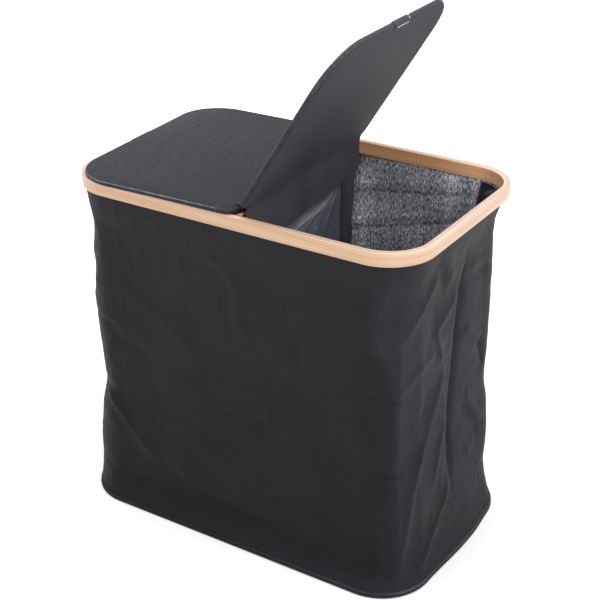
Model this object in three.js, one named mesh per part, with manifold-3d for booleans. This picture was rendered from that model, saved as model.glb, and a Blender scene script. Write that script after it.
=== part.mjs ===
// Two-bin laundry hamper: a bent bamboo rim, a soft fabric body held up by rods, a cloth divider
// under a centre bar, and two padded lids that fold up from one soft hinge.
// Millimetres, +Z up, X along the length, -Y the front. The origin is under the middle of the base.
import * as THREE from 'three';
import * as BufferGeometryUtils from 'three/addons/utils/BufferGeometryUtils.js';
import Module from 'manifold-3d';

const wasm = await Module();
wasm.setup();

// Driving dimensions
const rimLength = 517.5;
const rimWidth = 327;
const rimTop = 498.3;
const rimHeight = 18;
const rimThickness = 9.2;
const rimCorner = 64;
const baseLength = 538;
const baseWidth = 330;
const baseCorner = 73;
const waistDepth = 18;
const gussetDepth = 7;
const lidThickness = 9;
const lidLength = 256.6;
const lidWidth = 322;
const lidFreeCorner = 61;
const lidHingeCorner = 17;
const lidOpenAngle = 58.5;
const centreShift = 9;
const centreTurn = 2.2;

// Clearances
const seat = 0.3;
const overrun = 1;

// Rim details
const rimEdge = 1.3;
const grooveWidth = 3.4;
const grooveDepth = 6;
const grooveInset = 2.9;
const rimSteps = 14;

// Fabric thicknesses and the shape of the walls
const wallThickness = 2.2;
const liningThickness = 1.2;
const wallTopInset = 3.4;
const cornerSteps = 6;
// How far the wall draws in at each share of its height, as a share of waistDepth
const waistShares = [
  [0, 0.17], [0.03, 0.42], [0.11, 0.67], [0.27, 0.83], [0.39, 1],
  [0.62, 0.87], [0.91, 0.72], [0.955, 0.5], [1, wallTopInset / waistDepth],
];
// Where the end panel's fold is deepest, as shares of its height
const gussetRiseShare = 0.25;
// How far the divider draws the linings in, over what length, and the share of the height it fades in
const dividerDraw = 15;
const drawReach = 34;
const drawRiseShare = 0.09;

// Base
const weltHeight = 9;
const weltWidth = 6;
const boardThickness = 4;
const baseCoverThickness = 2;

// Rods and their sleeves
const rodRadius = 3;
const rodEndRadius = 3.9;
const rodEndLength = 14;
const sleeveOuter = 6;
const sleeveInner = 4.6;
const sleeveCap = 1.6;
const sleeveTopDrop = 5;
const tubeSides = 10;

// Centre bar, its sockets and screws
const barWidth = 9;
const barHeight = 14;
const barDrop = 1.3;
const barEdge = 1.6;
const socketWidth = 12;
const socketDepth = 7;
const socketFloor = 2.6;
const socketLip = 1.2;
const screwRadius = 1.4;
const screwHeadRadius = 2.5;
const screwHeadHeight = 1.5;
const screwLength = 9;
const screwSides = 12;

// Divider, flaps and tapes
const webThickness = 2;
const tapeThickness = 1.2;
const tapeHeight = 12;
const flapThickness = 2.4;
const flapHeight = 48;
const flapCorner = 12;
const flapEndGap = 2;
const hingeStripThickness = 1.2;
const hingeBead = 1;
const beadSides = 10;

// Lid build-up
const lidGap = 1.6;
const lidCoverThickness = 1.1;
const lidBoardThickness = 3;
const lidEdge = 3.2;
const lidTurnUnder = 9;
const lidCrown = 1.6;
const tabLength = 36;
const tabWidth = 12;
const tabThickness = 0.9;
const leafThickness = 0.9;

// Materials
const material = (color, roughness, metalness = 0) =>
  new THREE.MeshStandardMaterial({ color, roughness, metalness });
const bamboo = () => material(0xd9ae78, 0.45);
const blackCanvas = () => material(0x1b1b1d, 0.92);
const charcoalCloth = () => material(0x3a3a3f, 0.9);
const melange = () => material(0x5c6066, 0.95);
const dividerCloth = () => material(0x4c525c, 0.7);
const fibreBoard = () => material(0x8d7a60, 0.9);
const foam = () => material(0xd8d6cf, 0.95);
const steel = () => material(0xb9bcc0, 0.35, 0.9);
const blackPlastic = () => material(0x151517, 0.5);
const webbing = () => material(0x202023, 0.85);

// Geometry helpers

// Turns a list of triangles into a geometry whose faces point out.
function closedGeometry(points, triangles) {
  let volume = 0;
  for (const [i, j, k] of triangles) {
    volume += points[i].dot(new THREE.Vector3().crossVectors(points[j], points[k]));
  }
  const faces = volume > 0 ? triangles : triangles.map(([i, j, k]) => [i, k, j]);
  const geometry = new THREE.BufferGeometry();
  geometry.setAttribute('position', new THREE.Float32BufferAttribute(points.flatMap((p) => p.toArray()), 3));
  geometry.setIndex(faces.flat());
  geometry.computeVertexNormals();
  return geometry;
}

const quad = (a, b, c, d) => [[a, b, c], [a, c, d]];

// A sheet with thickness between two grids of points, rows by columns, open at all four edges.
function thickSheet(outer, inner) {
  const rows = outer.length;
  const columns = outer[0].length;
  const points = [...outer.flat(), ...inner.flat()];
  const at = (side, row, column) => (side * rows + row) * columns + column;
  const triangles = [];
  for (let row = 0; row + 1 < rows; row++) {
    for (let column = 0; column + 1 < columns; column++) {
      triangles.push(...quad(at(0, row, column), at(0, row, column + 1),
        at(0, row + 1, column + 1), at(0, row + 1, column)));
      triangles.push(...quad(at(1, row, column), at(1, row + 1, column),
        at(1, row + 1, column + 1), at(1, row, column + 1)));
    }
    for (const [column, turn] of [[0, false], [columns - 1, true]]) {
      const edge = [at(0, row, column), at(0, row + 1, column), at(1, row + 1, column), at(1, row, column)];
      triangles.push(...quad(...(turn ? edge.reverse() : edge)));
    }
  }
  for (let column = 0; column + 1 < columns; column++) {
    for (const [row, turn] of [[0, true], [rows - 1, false]]) {
      const edge = [at(0, row, column), at(0, row, column + 1), at(1, row, column + 1), at(1, row, column)];
      triangles.push(...quad(...(turn ? edge.reverse() : edge)));
    }
  }
  return closedGeometry(points, triangles);
}

// One closed loop of points for each [inset, height].
const loopsOf = (outlineAt, profile) => profile.map(([inset, height]) =>
  outlineAt(inset).map(([x, y]) => new THREE.Vector3(x, y, height)));

// A closed band: a closed profile of [inset, height] carried round a closed outline.
function hoop(outlineAt, profile) {
  const loops = loopsOf(outlineAt, profile);
  const count = loops[0].length;
  const triangles = [];
  for (let ring = 0; ring < loops.length; ring++) {
    const next = (ring + 1) % loops.length;
    for (let i = 0; i < count; i++) {
      const j = (i + 1) % count;
      triangles.push(...quad(ring * count + i, ring * count + j, next * count + j, next * count + i));
    }
  }
  return closedGeometry(loops.flat(), triangles);
}

// A solid from rings of one outline at several insets and heights, closed by a fan at both ends.
function stackedRings(outlineAt, rings) {
  const loops = loopsOf(outlineAt, rings);
  const count = loops[0].length;
  const points = loops.flat();
  const triangles = [];
  for (let ring = 0; ring + 1 < loops.length; ring++) {
    for (let i = 0; i < count; i++) {
      const j = (i + 1) % count;
      const above = (ring + 1) * count;
      triangles.push(...quad(ring * count + i, ring * count + j, above + j, above + i));
    }
  }
  for (const [ring, turn] of [[0, true], [loops.length - 1, false]]) {
    const centre = points.length;
    const middle = new THREE.Vector3();
    loops[ring].forEach((p) => middle.add(p));
    points.push(middle.divideScalar(count));
    for (let i = 0; i < count; i++) {
      const j = (i + 1) % count;
      triangles.push(turn ? [centre, ring * count + j, ring * count + i]
        : [centre, ring * count + i, ring * count + j]);
    }
  }
  return closedGeometry(points, triangles);
}

// A quarter circle of points about a centre, from one angle in quarter turns.
function quarter(cx, cy, radius, startQuarter, steps) {
  const points = [];
  for (let i = 0; i <= steps; i++) {
    const angle = (startQuarter + i / steps) * Math.PI / 2;
    points.push([cx + radius * Math.cos(angle), cy + radius * Math.sin(angle)]);
  }
  return points;
}

// A rounded rectangle about the origin, anticlockwise from the middle of its front right corner.
function roundedRectangle(halfX, halfY, corner, steps) {
  return [
    ...quarter(halfX - corner, -halfY + corner, corner, 3, steps),
    ...quarter(halfX - corner, halfY - corner, corner, 0, steps),
    ...quarter(-halfX + corner, halfY - corner, corner, 1, steps),
    ...quarter(-halfX + corner, -halfY + corner, corner, 2, steps),
  ];
}

const rimOutline = (inset) =>
  roundedRectangle(rimLength / 2 - inset, rimWidth / 2 - inset, rimCorner - inset, rimSteps);
const baseOutline = (inset) =>
  roundedRectangle(baseLength / 2 - inset, baseWidth / 2 - inset, baseCorner - inset, cornerSteps);

function toManifold(geometry) {
  const bare = geometry.clone();
  bare.deleteAttribute('normal');
  bare.deleteAttribute('uv');
  const merged = BufferGeometryUtils.mergeVertices(bare);
  return new wasm.Manifold(new wasm.Mesh({
    numProp: 3,
    vertProperties: new Float32Array(merged.attributes.position.array),
    triVerts: new Uint32Array(merged.index.array),
  }));
}

function fromManifold(solid) {
  const mesh = solid.getMesh();
  const geometry = new THREE.BufferGeometry();
  geometry.setAttribute('position', new THREE.BufferAttribute(new Float32Array(mesh.vertProperties), 3));
  geometry.setIndex([...mesh.triVerts]);
  geometry.computeVertexNormals();
  return geometry;
}

const cut = (geometry, tools) =>
  fromManifold(tools.reduce((solid, tool) => solid.subtract(toManifold(tool)), toManifold(geometry)));

function addMesh(parent, name, geometry, itsMaterial, place = [0, 0, 0]) {
  const mesh = new THREE.Mesh(geometry, itsMaterial);
  mesh.name = name;
  mesh.position.set(...place);
  parent.add(mesh);
  return mesh;
}

// Walls

const rimBottom = rimTop - rimHeight;
const wallBottom = weltHeight + seat;
const wallTop = rimBottom - seat;
const wallHeight = wallTop - wallBottom;
const wallRows = waistShares.map(([share, depth]) => ({
  height: wallBottom + wallHeight * share,
  share,
  waist: waistDepth * depth,
}));

// The wall's plan at one row, moved in by offset: half sizes, corner radius and depth of the fold.
function wallPlan(row, offset) {
  const down = 1 - row.height / rimTop;
  const grow = (rim, base) => rim + (base - rim) * down;
  const inset = row.waist + offset;
  return {
    halfX: grow(rimLength, baseLength) / 2 - inset,
    halfY: grow(rimWidth, baseWidth) / 2 - inset,
    corner: grow(rimCorner, baseCorner) - inset,
    fold: gussetDepth * Math.min(1, row.share / gussetRiseShare, (1 - row.share) / gussetRiseShare),
    draw: dividerDraw * Math.min(1, row.share / drawRiseShare, (1 - row.share) / drawRiseShare),
    height: row.height,
  };
}

const onRow = (plan, points) => points.map(([x, y]) => new THREE.Vector3(x, y, plan.height));

// The front or back panel wraps both corners, to the seams on the end panels.
function wrapRow(plan, side) {
  const { halfX, halfY, corner } = plan;
  const left = quarter(-halfX + corner, -halfY + corner, corner, 2, cornerSteps);
  const right = quarter(halfX - corner, -halfY + corner, corner, 3, cornerSteps);
  return onRow(plan, [...left, ...right].map(([x, y]) => [x, side * y]));
}

// An end panel is flat between the seams, with one upright fold in its middle.
function endRow(plan, side, gap) {
  const { halfX, halfY, corner, fold } = plan;
  const reach = halfY - corner - gap;
  return onRow(plan, [[halfX, -reach], [halfX - fold / 2, -reach / 2], [halfX - fold, 0],
    [halfX - fold / 2, reach / 2], [halfX, reach]].map(([x, y]) => [side * x, y]));
}

// The lining of one bin runs from the divider round the end of the hamper and back. The divider
// draws both of its ends in.
function liningRow(plan, side, divider) {
  const { halfX, halfY, corner, fold, draw } = plan;
  const reach = halfY - corner;
  return onRow(plan, [
    [side * divider(-halfY), -halfY + draw],
    [side * divider(-halfY) + drawReach, -halfY],
    ...[
      ...quarter(halfX - corner, -reach, corner, 3, cornerSteps),
      [halfX - fold / 2, -reach / 2], [halfX - fold, 0], [halfX - fold / 2, reach / 2],
      ...quarter(halfX - corner, reach, corner, 0, cornerSteps),
    ],
    [side * divider(halfY) + drawReach, halfY],
    [side * divider(halfY), halfY - draw],
  ].map(([x, y]) => [side * x, y]));
}

const sheetOf = (rowPoints, near, far) => thickSheet(
  wallRows.map((row) => rowPoints(wallPlan(row, near))),
  wallRows.map((row) => rowPoints(wallPlan(row, far))),
);

function addWalls(parent) {
  for (const [name, side] of [['back_panel', -1], ['front_panel', 1]]) {
    addMesh(parent, name, sheetOf((plan) => wrapRow(plan, side), 0, wallThickness), blackCanvas());
  }
  for (const [name, side] of [['left_end_panel', -1], ['right_end_panel', 1]]) {
    addMesh(parent, name, sheetOf((plan) => endRow(plan, side, seat), 0, wallThickness), blackCanvas());
  }
  const near = wallThickness + seat;
  const webHalf = webThickness / 2 + seat;
  for (const [name, side] of [['left_lining', -1], ['right_lining', 1]]) {
    const divider = (y) => centreLineAt(y) + side * webHalf;
    addMesh(parent, name, sheetOf((plan) => liningRow(plan, side, divider), near, near + liningThickness),
      melange());
  }
}

// The divider's line in plan: it sits off the middle and slightly askew.
function centreLineAt(y) {
  return centreShift - y * Math.tan(THREE.MathUtils.degToRad(centreTurn));
}

// Rim and the hem strip that holds the walls in its groove

function rimProfile() {
  const arc = (cx, cy, startQuarter) => quarter(cx, cy, rimEdge, startQuarter, 3).reverse();
  const low = rimBottom;
  const high = rimTop;
  const grooveTop = low + grooveDepth;
  return [
    ...arc(rimEdge, low + rimEdge, 2),
    ...arc(rimEdge, high - rimEdge, 1),
    ...arc(rimThickness - rimEdge, high - rimEdge, 0),
    [rimThickness, low],
    [grooveInset + grooveWidth, low],
    [grooveInset + grooveWidth, grooveTop],
    [grooveInset, grooveTop],
    [grooveInset, low],
  ];
}

function addRim(parent, screwHoles) {
  addMesh(parent, 'bamboo_rim', cut(hoop(rimOutline, rimProfile()), screwHoles), bamboo());
  const near = grooveInset + seat;
  const far = grooveInset + grooveWidth - seat;
  const top = rimBottom + grooveDepth - seat;
  const hemProfile = [[near, rimBottom], [near, top], [far, top], [far, rimBottom]];
  addMesh(parent, 'rim_hem_strip', hoop(rimOutline, hemProfile), webbing());
}

// Base

const boardLow = baseCoverThickness + seat;
const boardHigh = boardLow + boardThickness;
const floorHigh = boardHigh + seat + liningThickness;

function addBase(parent) {
  const bulge = weltHeight / 4;
  addMesh(parent, 'base_welt', hoop(baseOutline, [
    [bulge, 0], [0, bulge], [0, weltHeight - bulge], [bulge, weltHeight],
    [weltWidth, weltHeight], [weltWidth, 0],
  ]), blackCanvas());
  const inside = weltWidth + seat;
  const plate = (low, high, inset) => stackedRings(baseOutline, [[inset, low], [inset, high]]);
  addMesh(parent, 'base_cover', plate(0, baseCoverThickness, inside), blackCanvas());
  addMesh(parent, 'base_board', plate(boardLow, boardHigh, inside), fibreBoard());
  const floorInset = inside + wallThickness + liningThickness;
  addMesh(parent, 'floor_lining', plate(boardHigh + seat, floorHigh, floorInset), melange());
}

// Rods and sleeves

const liningInner = wallThickness + seat + liningThickness;
// The sleeves stand clear of the lining at its tightest row, whichever of rim and base is larger.
const liningPlans = wallRows.map((row) => wallPlan(row, liningInner));
const tightest = (placeOf) => Math.min(...liningPlans.map(placeOf));
const sleeveRoom = seat + sleeveOuter;
const cornerReach = (plan, half) => half - plan.corner + (plan.corner - sleeveRoom) * Math.SQRT1_2;
const rodX = tightest((plan) => cornerReach(plan, plan.halfX));
const rodY = tightest((plan) => cornerReach(plan, plan.halfY));
const drawnY = tightest((plan) => plan.halfY - plan.draw);
const middleRodY = drawnY - sleeveRoom;
const sleeveLow = floorHigh + seat;
const sleeveHigh = rimBottom - sleeveTopDrop;

// The profile of a round upright piece, turned about Z.
function turned(profile, sides) {
  const geometry = new THREE.LatheGeometry(profile.map(([r, z]) => new THREE.Vector2(r, z)), sides);
  geometry.rotateX(Math.PI / 2);
  return toClosed(geometry);
}

// Merges the seam of a three.js primitive and points its faces out.
function toClosed(geometry) {
  const bare = geometry.clone();
  bare.deleteAttribute('normal');
  bare.deleteAttribute('uv');
  const merged = BufferGeometryUtils.mergeVertices(bare);
  const position = merged.attributes.position;
  const points = [];
  for (let i = 0; i < position.count; i++) points.push(new THREE.Vector3().fromBufferAttribute(position, i));
  const triangles = [];
  const index = merged.index.array;
  for (let i = 0; i < index.length; i += 3) {
    const [a, b, c] = [index[i], index[i + 1], index[i + 2]];
    if (a !== b && b !== c && a !== c) triangles.push([a, b, c]);
  }
  return closedGeometry(points, triangles);
}

function sleeve() {
  const top = sleeveHigh - sleeveLow;
  return turned([
    [sleeveInner, 0], [sleeveOuter, 0], [sleeveOuter, top], [0, top], [0, top - sleeveCap],
    [sleeveInner, top - sleeveCap], [sleeveInner, 0],
  ], tubeSides);
}

function rod() {
  const length = sleeveHigh - sleeveLow - sleeveCap - seat;
  const step = rodEndRadius - rodRadius;
  return turned([
    [0, 0], [rodEndRadius, 0], [rodEndRadius, rodEndLength], [rodRadius, rodEndLength + step],
    [rodRadius, length - rodEndLength - step], [rodEndRadius, length - rodEndLength],
    [rodEndRadius, length], [0, length],
  ], tubeSides);
}

function addRods(parent) {
  const places = [
    ['front_left', -rodX, -rodY],
    ['front_middle', centreLineAt(-middleRodY), -middleRodY],
    ['front_right', rodX, -rodY],
    ['back_left', -rodX, rodY],
    ['back_middle', centreLineAt(middleRodY), middleRodY],
    ['back_right', rodX, rodY],
  ];
  for (const [place, x, y] of places) {
    addMesh(parent, `rod_${place}`, rod(), steel(), [x, y, sleeveLow]);
    addMesh(parent, `rod_sleeve_${place}`, sleeve(), webbing(), [x, y, sleeveLow]);
  }
}

// Centre set: bar, sockets, divider, flaps and hinge strip, in a group that is turned with the lids

const hingeHeight = rimTop + seat + lidThickness;
const barHigh = rimTop - barDrop;
const barLow = barHigh - barHeight;
const turnAngle = THREE.MathUtils.degToRad(centreTurn);
const socketFace = rimWidth / 2 - rimThickness - seat - socketWidth / 2 * Math.sin(turnAngle);
const socketMouth = socketFace - socketDepth;
const barHalfLength = socketFace - socketFloor - seat;
const screwHeight = barLow + barHeight / 2;

// A box between two corners.
function block(low, high) {
  const size = high.map((value, i) => value - low[i]);
  const geometry = new THREE.BoxGeometry(...size);
  geometry.translate(...low.map((value, i) => value + size[i] / 2));
  return toClosed(geometry);
}

// A flat outline in X and Z, or Y and Z, given thickness along the third axis.
function extrudeAlongY(outline, low, high) {
  const shape = new THREE.Shape(outline.map(([x, z]) => new THREE.Vector2(x, z)));
  const geometry = new THREE.ExtrudeGeometry(shape, { depth: high - low, bevelEnabled: false, steps: 1 });
  geometry.rotateX(Math.PI / 2);
  geometry.translate(0, high, 0);
  return toClosed(geometry);
}

function extrudeAlongX(outline, low, high) {
  const geometry = extrudeAlongY(outline.map(([y, z]) => [y, z]), -high, -low);
  geometry.rotateZ(Math.PI / 2);
  return geometry;
}

function barSection() {
  const half = barWidth / 2;
  return [
    [-half, barLow + barEdge], [-half + barEdge, barLow],
    [half - barEdge, barLow], [half, barLow + barEdge],
    [half, barHigh - barEdge], [half - barEdge, barHigh],
    [-half + barEdge, barHigh], [-half, barHigh - barEdge],
  ];
}

function screwAt(side, hole) {
  const slack = hole ? seat / 2 : 0;
  const headRoom = hole ? overrun : 0;
  const tip = screwLength + slack;
  const geometry = turned([
    [0, -screwHeadHeight - headRoom], [screwHeadRadius + slack, -screwHeadHeight - headRoom],
    [screwHeadRadius + slack, 0], [screwRadius + slack, 0],
    [screwRadius + slack, tip - screwRadius], [0, tip],
  ], screwSides);
  geometry.rotateX(-side * Math.PI / 2);
  geometry.translate(0, side * (socketFace - socketFloor + screwHeadHeight), screwHeight);
  return geometry;
}

function addCentreSet(parent) {
  const half = barWidth / 2;
  addMesh(parent, 'centre_bar', extrudeAlongY(barSection(), -barHalfLength, barHalfLength), bamboo());

  for (const [name, side] of [['front', -1], ['back', 1]]) {
    const near = side * socketMouth;
    const far = side * socketFace;
    const [y0, y1] = [Math.min(near, far), Math.max(near, far)];
    const pocketEnd = side * (socketFace - socketFloor);
    const [p0, p1] = [Math.min(near - side * overrun, pocketEnd), Math.max(near - side * overrun, pocketEnd)];
    const body = block([-socketWidth / 2, y0, barLow - socketLip - seat],
      [socketWidth / 2, y1, barHigh]);
    const pocket = block([-half - seat, p0, barLow - seat], [half + seat, p1, barHigh + overrun]);
    addMesh(parent, `bar_socket_${name}`, cut(body, [pocket, screwAt(side, true)]), blackPlastic());
    addMesh(parent, `socket_screw_${name}`, screwAt(side, false), steel());
  }

  const webEnd = middleRodY / Math.cos(turnAngle) - sleeveRoom;
  addMesh(parent, 'divider_web', block([-webThickness / 2, -webEnd, sleeveLow],
    [webThickness / 2, webEnd, barLow - seat]), dividerCloth());

  const flapEnd = socketFace - flapEndGap;
  const flapTop = rimTop - seat;
  const flapLow = flapTop - flapHeight;
  const tapeNear = half + seat;
  const tapeEnd = socketMouth - seat;
  const flapNear = tapeNear + tapeThickness + seat;
  // The flap's lower corners draw in with the linings
  const flapLowEnd = Math.min(flapEnd, drawnY - seat - flapNear * Math.sin(turnAngle));
  const flapOutline = [
    [-flapLowEnd, flapLow], [flapLowEnd, flapLow],
    ...quarter(flapEnd - flapCorner, flapTop - flapCorner, flapCorner, 0, 4),
    ...quarter(-flapEnd + flapCorner, flapTop - flapCorner, flapCorner, 1, 4),
  ];
  for (const [name, side] of [['left', -1], ['right', 1]]) {
    const span = (near, thickness) => (side > 0 ? [near, near + thickness] : [-near - thickness, -near]);
    const [t0, t1] = span(tapeNear, tapeThickness);
    addMesh(parent, `fastening_tape_${name}`, block([t0, -tapeEnd, barHigh - tapeHeight],
      [t1, tapeEnd, barHigh]), webbing());
    const [f0, f1] = span(flapNear, flapThickness);
    addMesh(parent, `hinge_flap_${name}`, extrudeAlongX(flapOutline, f0, f1), charcoalCloth());
  }

  const stripEnd = lidWidth / 2 - lidHingeCorner;
  addMesh(parent, 'hinge_strip', extrudeAlongY(hingeStripSection(), -stripEnd, stripEnd), charcoalCloth());
}

// An upright strip of cloth with a round bead on the fold line, about which the lids turn.
function hingeStripSection() {
  const half = hingeStripThickness / 2;
  const start = Math.asin(half / hingeBead);
  const bead = [];
  for (let i = 0; i <= beadSides; i++) {
    const angle = start + (2 * Math.PI - 2 * start) * i / beadSides;
    bead.push([hingeBead * Math.sin(angle), hingeHeight - hingeBead * Math.cos(angle)]);
  }
  return [[-half, barHigh + seat], [half, barHigh + seat], ...bead];
}

// Lids

// The lid's plan from the hinge outwards, with its larger corners at the free end.
function lidOutline(inset, side) {
  const near = lidGap + inset;
  const far = lidLength - inset;
  const halfY = lidWidth / 2 - inset;
  const free = lidFreeCorner - inset;
  const hinge = Math.max(lidHingeCorner - inset, lidCoverThickness);
  return [
    ...quarter(far - free, -halfY + free, free, 3, cornerSteps + 2),
    ...quarter(far - free, halfY - free, free, 0, cornerSteps + 2),
    ...quarter(near + hinge, halfY - hinge, hinge, 1, cornerSteps - 2),
    ...quarter(near + hinge, -halfY + hinge, hinge, 2, cornerSteps - 2),
  ].map(([x, y]) => [side * x, y]);
}

function addLid(parent, name, side) {
  const outline = (inset) => lidOutline(inset, side);
  const low = -lidThickness;
  const cover = lidCoverThickness;
  const shoulder = -lidCrown;
  const roll = lidEdge * (1 - Math.SQRT1_2);
  const inner = cover + seat;
  const plate = (inset, bottom, top) => stackedRings(outline, [[inset, bottom], [inset, top]]);
  const crownStart = lidEdge * 4;
  const crownEnd = crownStart * 3;

  // The top cover goes over the edge and turns under, so it is a shell that opens downwards.
  const outside = stackedRings(outline, [
    [roll, low], [0, low + roll], [0, shoulder - lidEdge], [roll, shoulder - roll],
    [lidEdge, shoulder], [crownStart, shoulder / 2], [crownEnd, 0],
  ]);
  const hollow = stackedRings(outline, [
    [cover, low + cover], [cover, shoulder - lidEdge], [cover + roll, shoulder - roll - cover],
    [lidEdge + cover, shoulder - cover], [crownStart, shoulder / 2 - cover], [crownEnd, -cover],
  ]);
  const mouth = stackedRings(outline, [[lidTurnUnder, low - overrun], [lidTurnUnder, low + cover + overrun]]);

  // The tab is set flush in a slot across the turned-under edge, so that it clears the rim.
  const tabFar = lidLength - lidTurnUnder / 2;
  const tabBlock = (slack, bottom, top) => {
    const [x0, x1] = [side * (tabFar - tabWidth - slack), side * (tabFar + slack)].sort((a, b) => a - b);
    return block([x0, -tabLength / 2 - slack, bottom], [x1, tabLength / 2 + slack, top]);
  };
  const tabSlot = tabBlock(seat, low - overrun, low + cover + seat / 2);
  addMesh(parent, `${name}_top_cover`, cut(outside, [hollow, mouth, tabSlot]), charcoalCloth());
  const underCover = plate(lidTurnUnder + seat, low, low + cover);
  addMesh(parent, `${name}_under_cover`, cut(underCover, [tabSlot]), charcoalCloth());
  addMesh(parent, `${name}_tab`, tabBlock(0, low, low + tabThickness), webbing());

  const boardLowZ = low + cover + seat;
  const boardHighZ = boardLowZ + lidBoardThickness;
  addMesh(parent, `${name}_board`, plate(inner, boardLowZ, boardHighZ), fibreBoard());

  const padLow = boardHighZ + seat;
  addMesh(parent, `${name}_pad`, stackedRings(outline, [
    [lidEdge, padLow], [lidEdge + inner, shoulder - inner],
    [crownStart + seat, shoulder / 2 - inner], [crownEnd + seat, -inner],
  ]), foam());

  // The leaf lies on the cover's falling edge and reaches to the bead on the fold line.
  const leafShare = (lidCrown - leafThickness - seat) / (lidCrown / 2);
  const leafFar = lidGap + lidEdge + (crownStart - lidEdge) * leafShare;
  const leafNear = hingeBead + seat;
  const leafHalf = lidWidth / 2 - lidHingeCorner;
  const [u0, u1] = [side * leafNear, side * leafFar].sort((a, b) => a - b);
  addMesh(parent, `${name}_hinge_leaf`, block([u0, -leafHalf, -leafThickness], [u1, leafHalf, 0]),
    charcoalCloth());
}

// Assembly

const hamper = new THREE.Group();
const centreSet = new THREE.Group();
centreSet.position.set(centreShift, 0, 0);
centreSet.rotation.z = THREE.MathUtils.degToRad(centreTurn);
centreSet.updateMatrix();

addRim(hamper, [-1, 1].map((side) => screwAt(side, true).applyMatrix4(centreSet.matrix)));
addBase(hamper);
addWalls(hamper);
addRods(hamper);
addCentreSet(centreSet);

for (const [name, side, angle] of [['left_lid', -1, 0], ['right_lid', 1, lidOpenAngle]]) {
  const lid = new THREE.Group();
  lid.position.set(0, 0, hingeHeight);
  lid.rotation.y = -side * THREE.MathUtils.degToRad(angle);
  addLid(lid, name, side);
  centreSet.add(lid);
}
hamper.add(centreSet);

export default hamper;
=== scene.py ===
# Two-bin laundry hamper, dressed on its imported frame. Sizes are written in millimetres and
# scaled to metres as each mesh is made. X runs along the length, -Y is the front, +Z is up.
import math

import bpy
import numpy as np
from mathutils import Matrix, Vector


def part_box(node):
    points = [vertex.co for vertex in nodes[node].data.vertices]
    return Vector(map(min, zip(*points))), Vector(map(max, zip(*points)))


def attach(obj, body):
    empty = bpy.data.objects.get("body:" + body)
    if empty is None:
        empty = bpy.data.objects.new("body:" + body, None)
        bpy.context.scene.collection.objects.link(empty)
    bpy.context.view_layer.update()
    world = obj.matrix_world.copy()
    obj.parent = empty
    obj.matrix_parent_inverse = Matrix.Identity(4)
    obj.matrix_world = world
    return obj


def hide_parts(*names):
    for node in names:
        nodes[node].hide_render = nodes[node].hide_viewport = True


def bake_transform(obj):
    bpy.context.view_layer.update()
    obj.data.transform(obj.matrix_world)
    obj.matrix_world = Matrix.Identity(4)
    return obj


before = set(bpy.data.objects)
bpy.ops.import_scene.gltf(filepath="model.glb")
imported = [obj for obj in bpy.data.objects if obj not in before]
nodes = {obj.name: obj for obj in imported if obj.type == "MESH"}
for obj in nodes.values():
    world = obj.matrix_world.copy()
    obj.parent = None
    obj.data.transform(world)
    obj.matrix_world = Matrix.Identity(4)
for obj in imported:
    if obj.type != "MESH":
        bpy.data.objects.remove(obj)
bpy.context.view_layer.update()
MM = 0.001

# Sizes that the frame shares with the part
RIM_TOP, RIM_HEIGHT, RIM_CORNER = 498.3, 18, 64
RIM_HALF = (258.75, 163.5)
BASE_HALF, BASE_CORNER = (269, 165), 73
RIM_BOTTOM = RIM_TOP - RIM_HEIGHT
WALL_LOW, WALL_HIGH = 9.3, 480.0
SLEEVE_LOW, SLEEVE_HIGH = 8.4, 475.3
DIVIDER_HIGH = 481.5
FLAP_LOW, FLAP_TOP = 449.5, 498.0
CENTRE_SHIFT, CENTRE_TURN = 9, math.radians(2.2)
HINGE_HEIGHT = 507.6
LID_LENGTH, LID_HALF_WIDTH, LID_GAP = 256.6, 161, 1.6
LID_FREE_CORNER, LID_HINGE_CORNER, LID_OPEN = 61, 17, 58.5
TAB_HALF = 20

# Thickness of the dressed cloths
WALL_CLOTH, LINING_CLOTH, SLEEVE_CLOTH, DIVIDER_CLOTH = 1.6, 0.9, 0.8, 1.2
LID_CLOTH, TAB_CLOTH, HINGE_CLOTH, FLAP_BOARD = 0.7, 0.5, 0.6, 2.2

# Perimeter coordinate: 0 at the middle of the front, then anticlockwise, with each corner
# 80 long, each end 198 long and each side 392 long, whatever the row's true size
AROUND = 1500
KNOTS = [0, 196, 276, 474, 554, 946, 1026, 1224, 1304, 1500]
# The middles of the corners, the ends and the back
FRONT_RIGHT, BACK_RIGHT, BACK_LEFT, FRONT_LEFT = 236, 514, 986, 1264
RIGHT_MIDDLE, BACK_MIDDLE, LEFT_MIDDLE = 375, 750, 1125


# ---------------------------------------------------------------- camera, light and floor

def linked(name, data, material=None):
    """A new object in the scene, for a mesh, a lamp or a camera."""
    if material:
        data.materials.append(material)
    piece = bpy.data.objects.new(name, data)
    bpy.context.scene.collection.objects.link(piece)
    return piece


def make_camera():
    azimuth, elevation, roll = (math.radians(a) for a in (31.93, 26.77, 0.15))
    target, distance = Vector((64.73, -88.28, 367.05)) * MM, 1.7356
    back = Vector((math.sin(azimuth) * math.cos(elevation),
                   -math.cos(azimuth) * math.cos(elevation), math.sin(elevation)))
    right = Vector((math.cos(azimuth), math.sin(azimuth), 0))
    up = back.cross(right)
    right, up = (right * math.cos(roll) + up * math.sin(roll),
                 up * math.cos(roll) - right * math.sin(roll))
    camera = linked("camera", bpy.data.cameras.new("camera"))
    camera.data.lens, camera.data.sensor_width, camera.data.clip_end = 80.93, 36, 50
    turn = Matrix((right, up, back)).transposed().to_4x4()
    turn.translation = target + back * distance
    camera.matrix_world = turn
    bpy.context.scene.camera = camera


def area_light(name, place, size, power):
    """A round lamp that points at the middle of the hamper."""
    middle = Vector((0, 0, 0.3))
    data = bpy.data.lights.new(name, "AREA")
    data.shape, data.size, data.energy = "DISK", size, power
    light = linked(name, data)
    light.location = place
    light.rotation_mode = "QUATERNION"
    light.rotation_quaternion = (middle - Vector(place)).to_track_quat("-Z", "Y")


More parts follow.
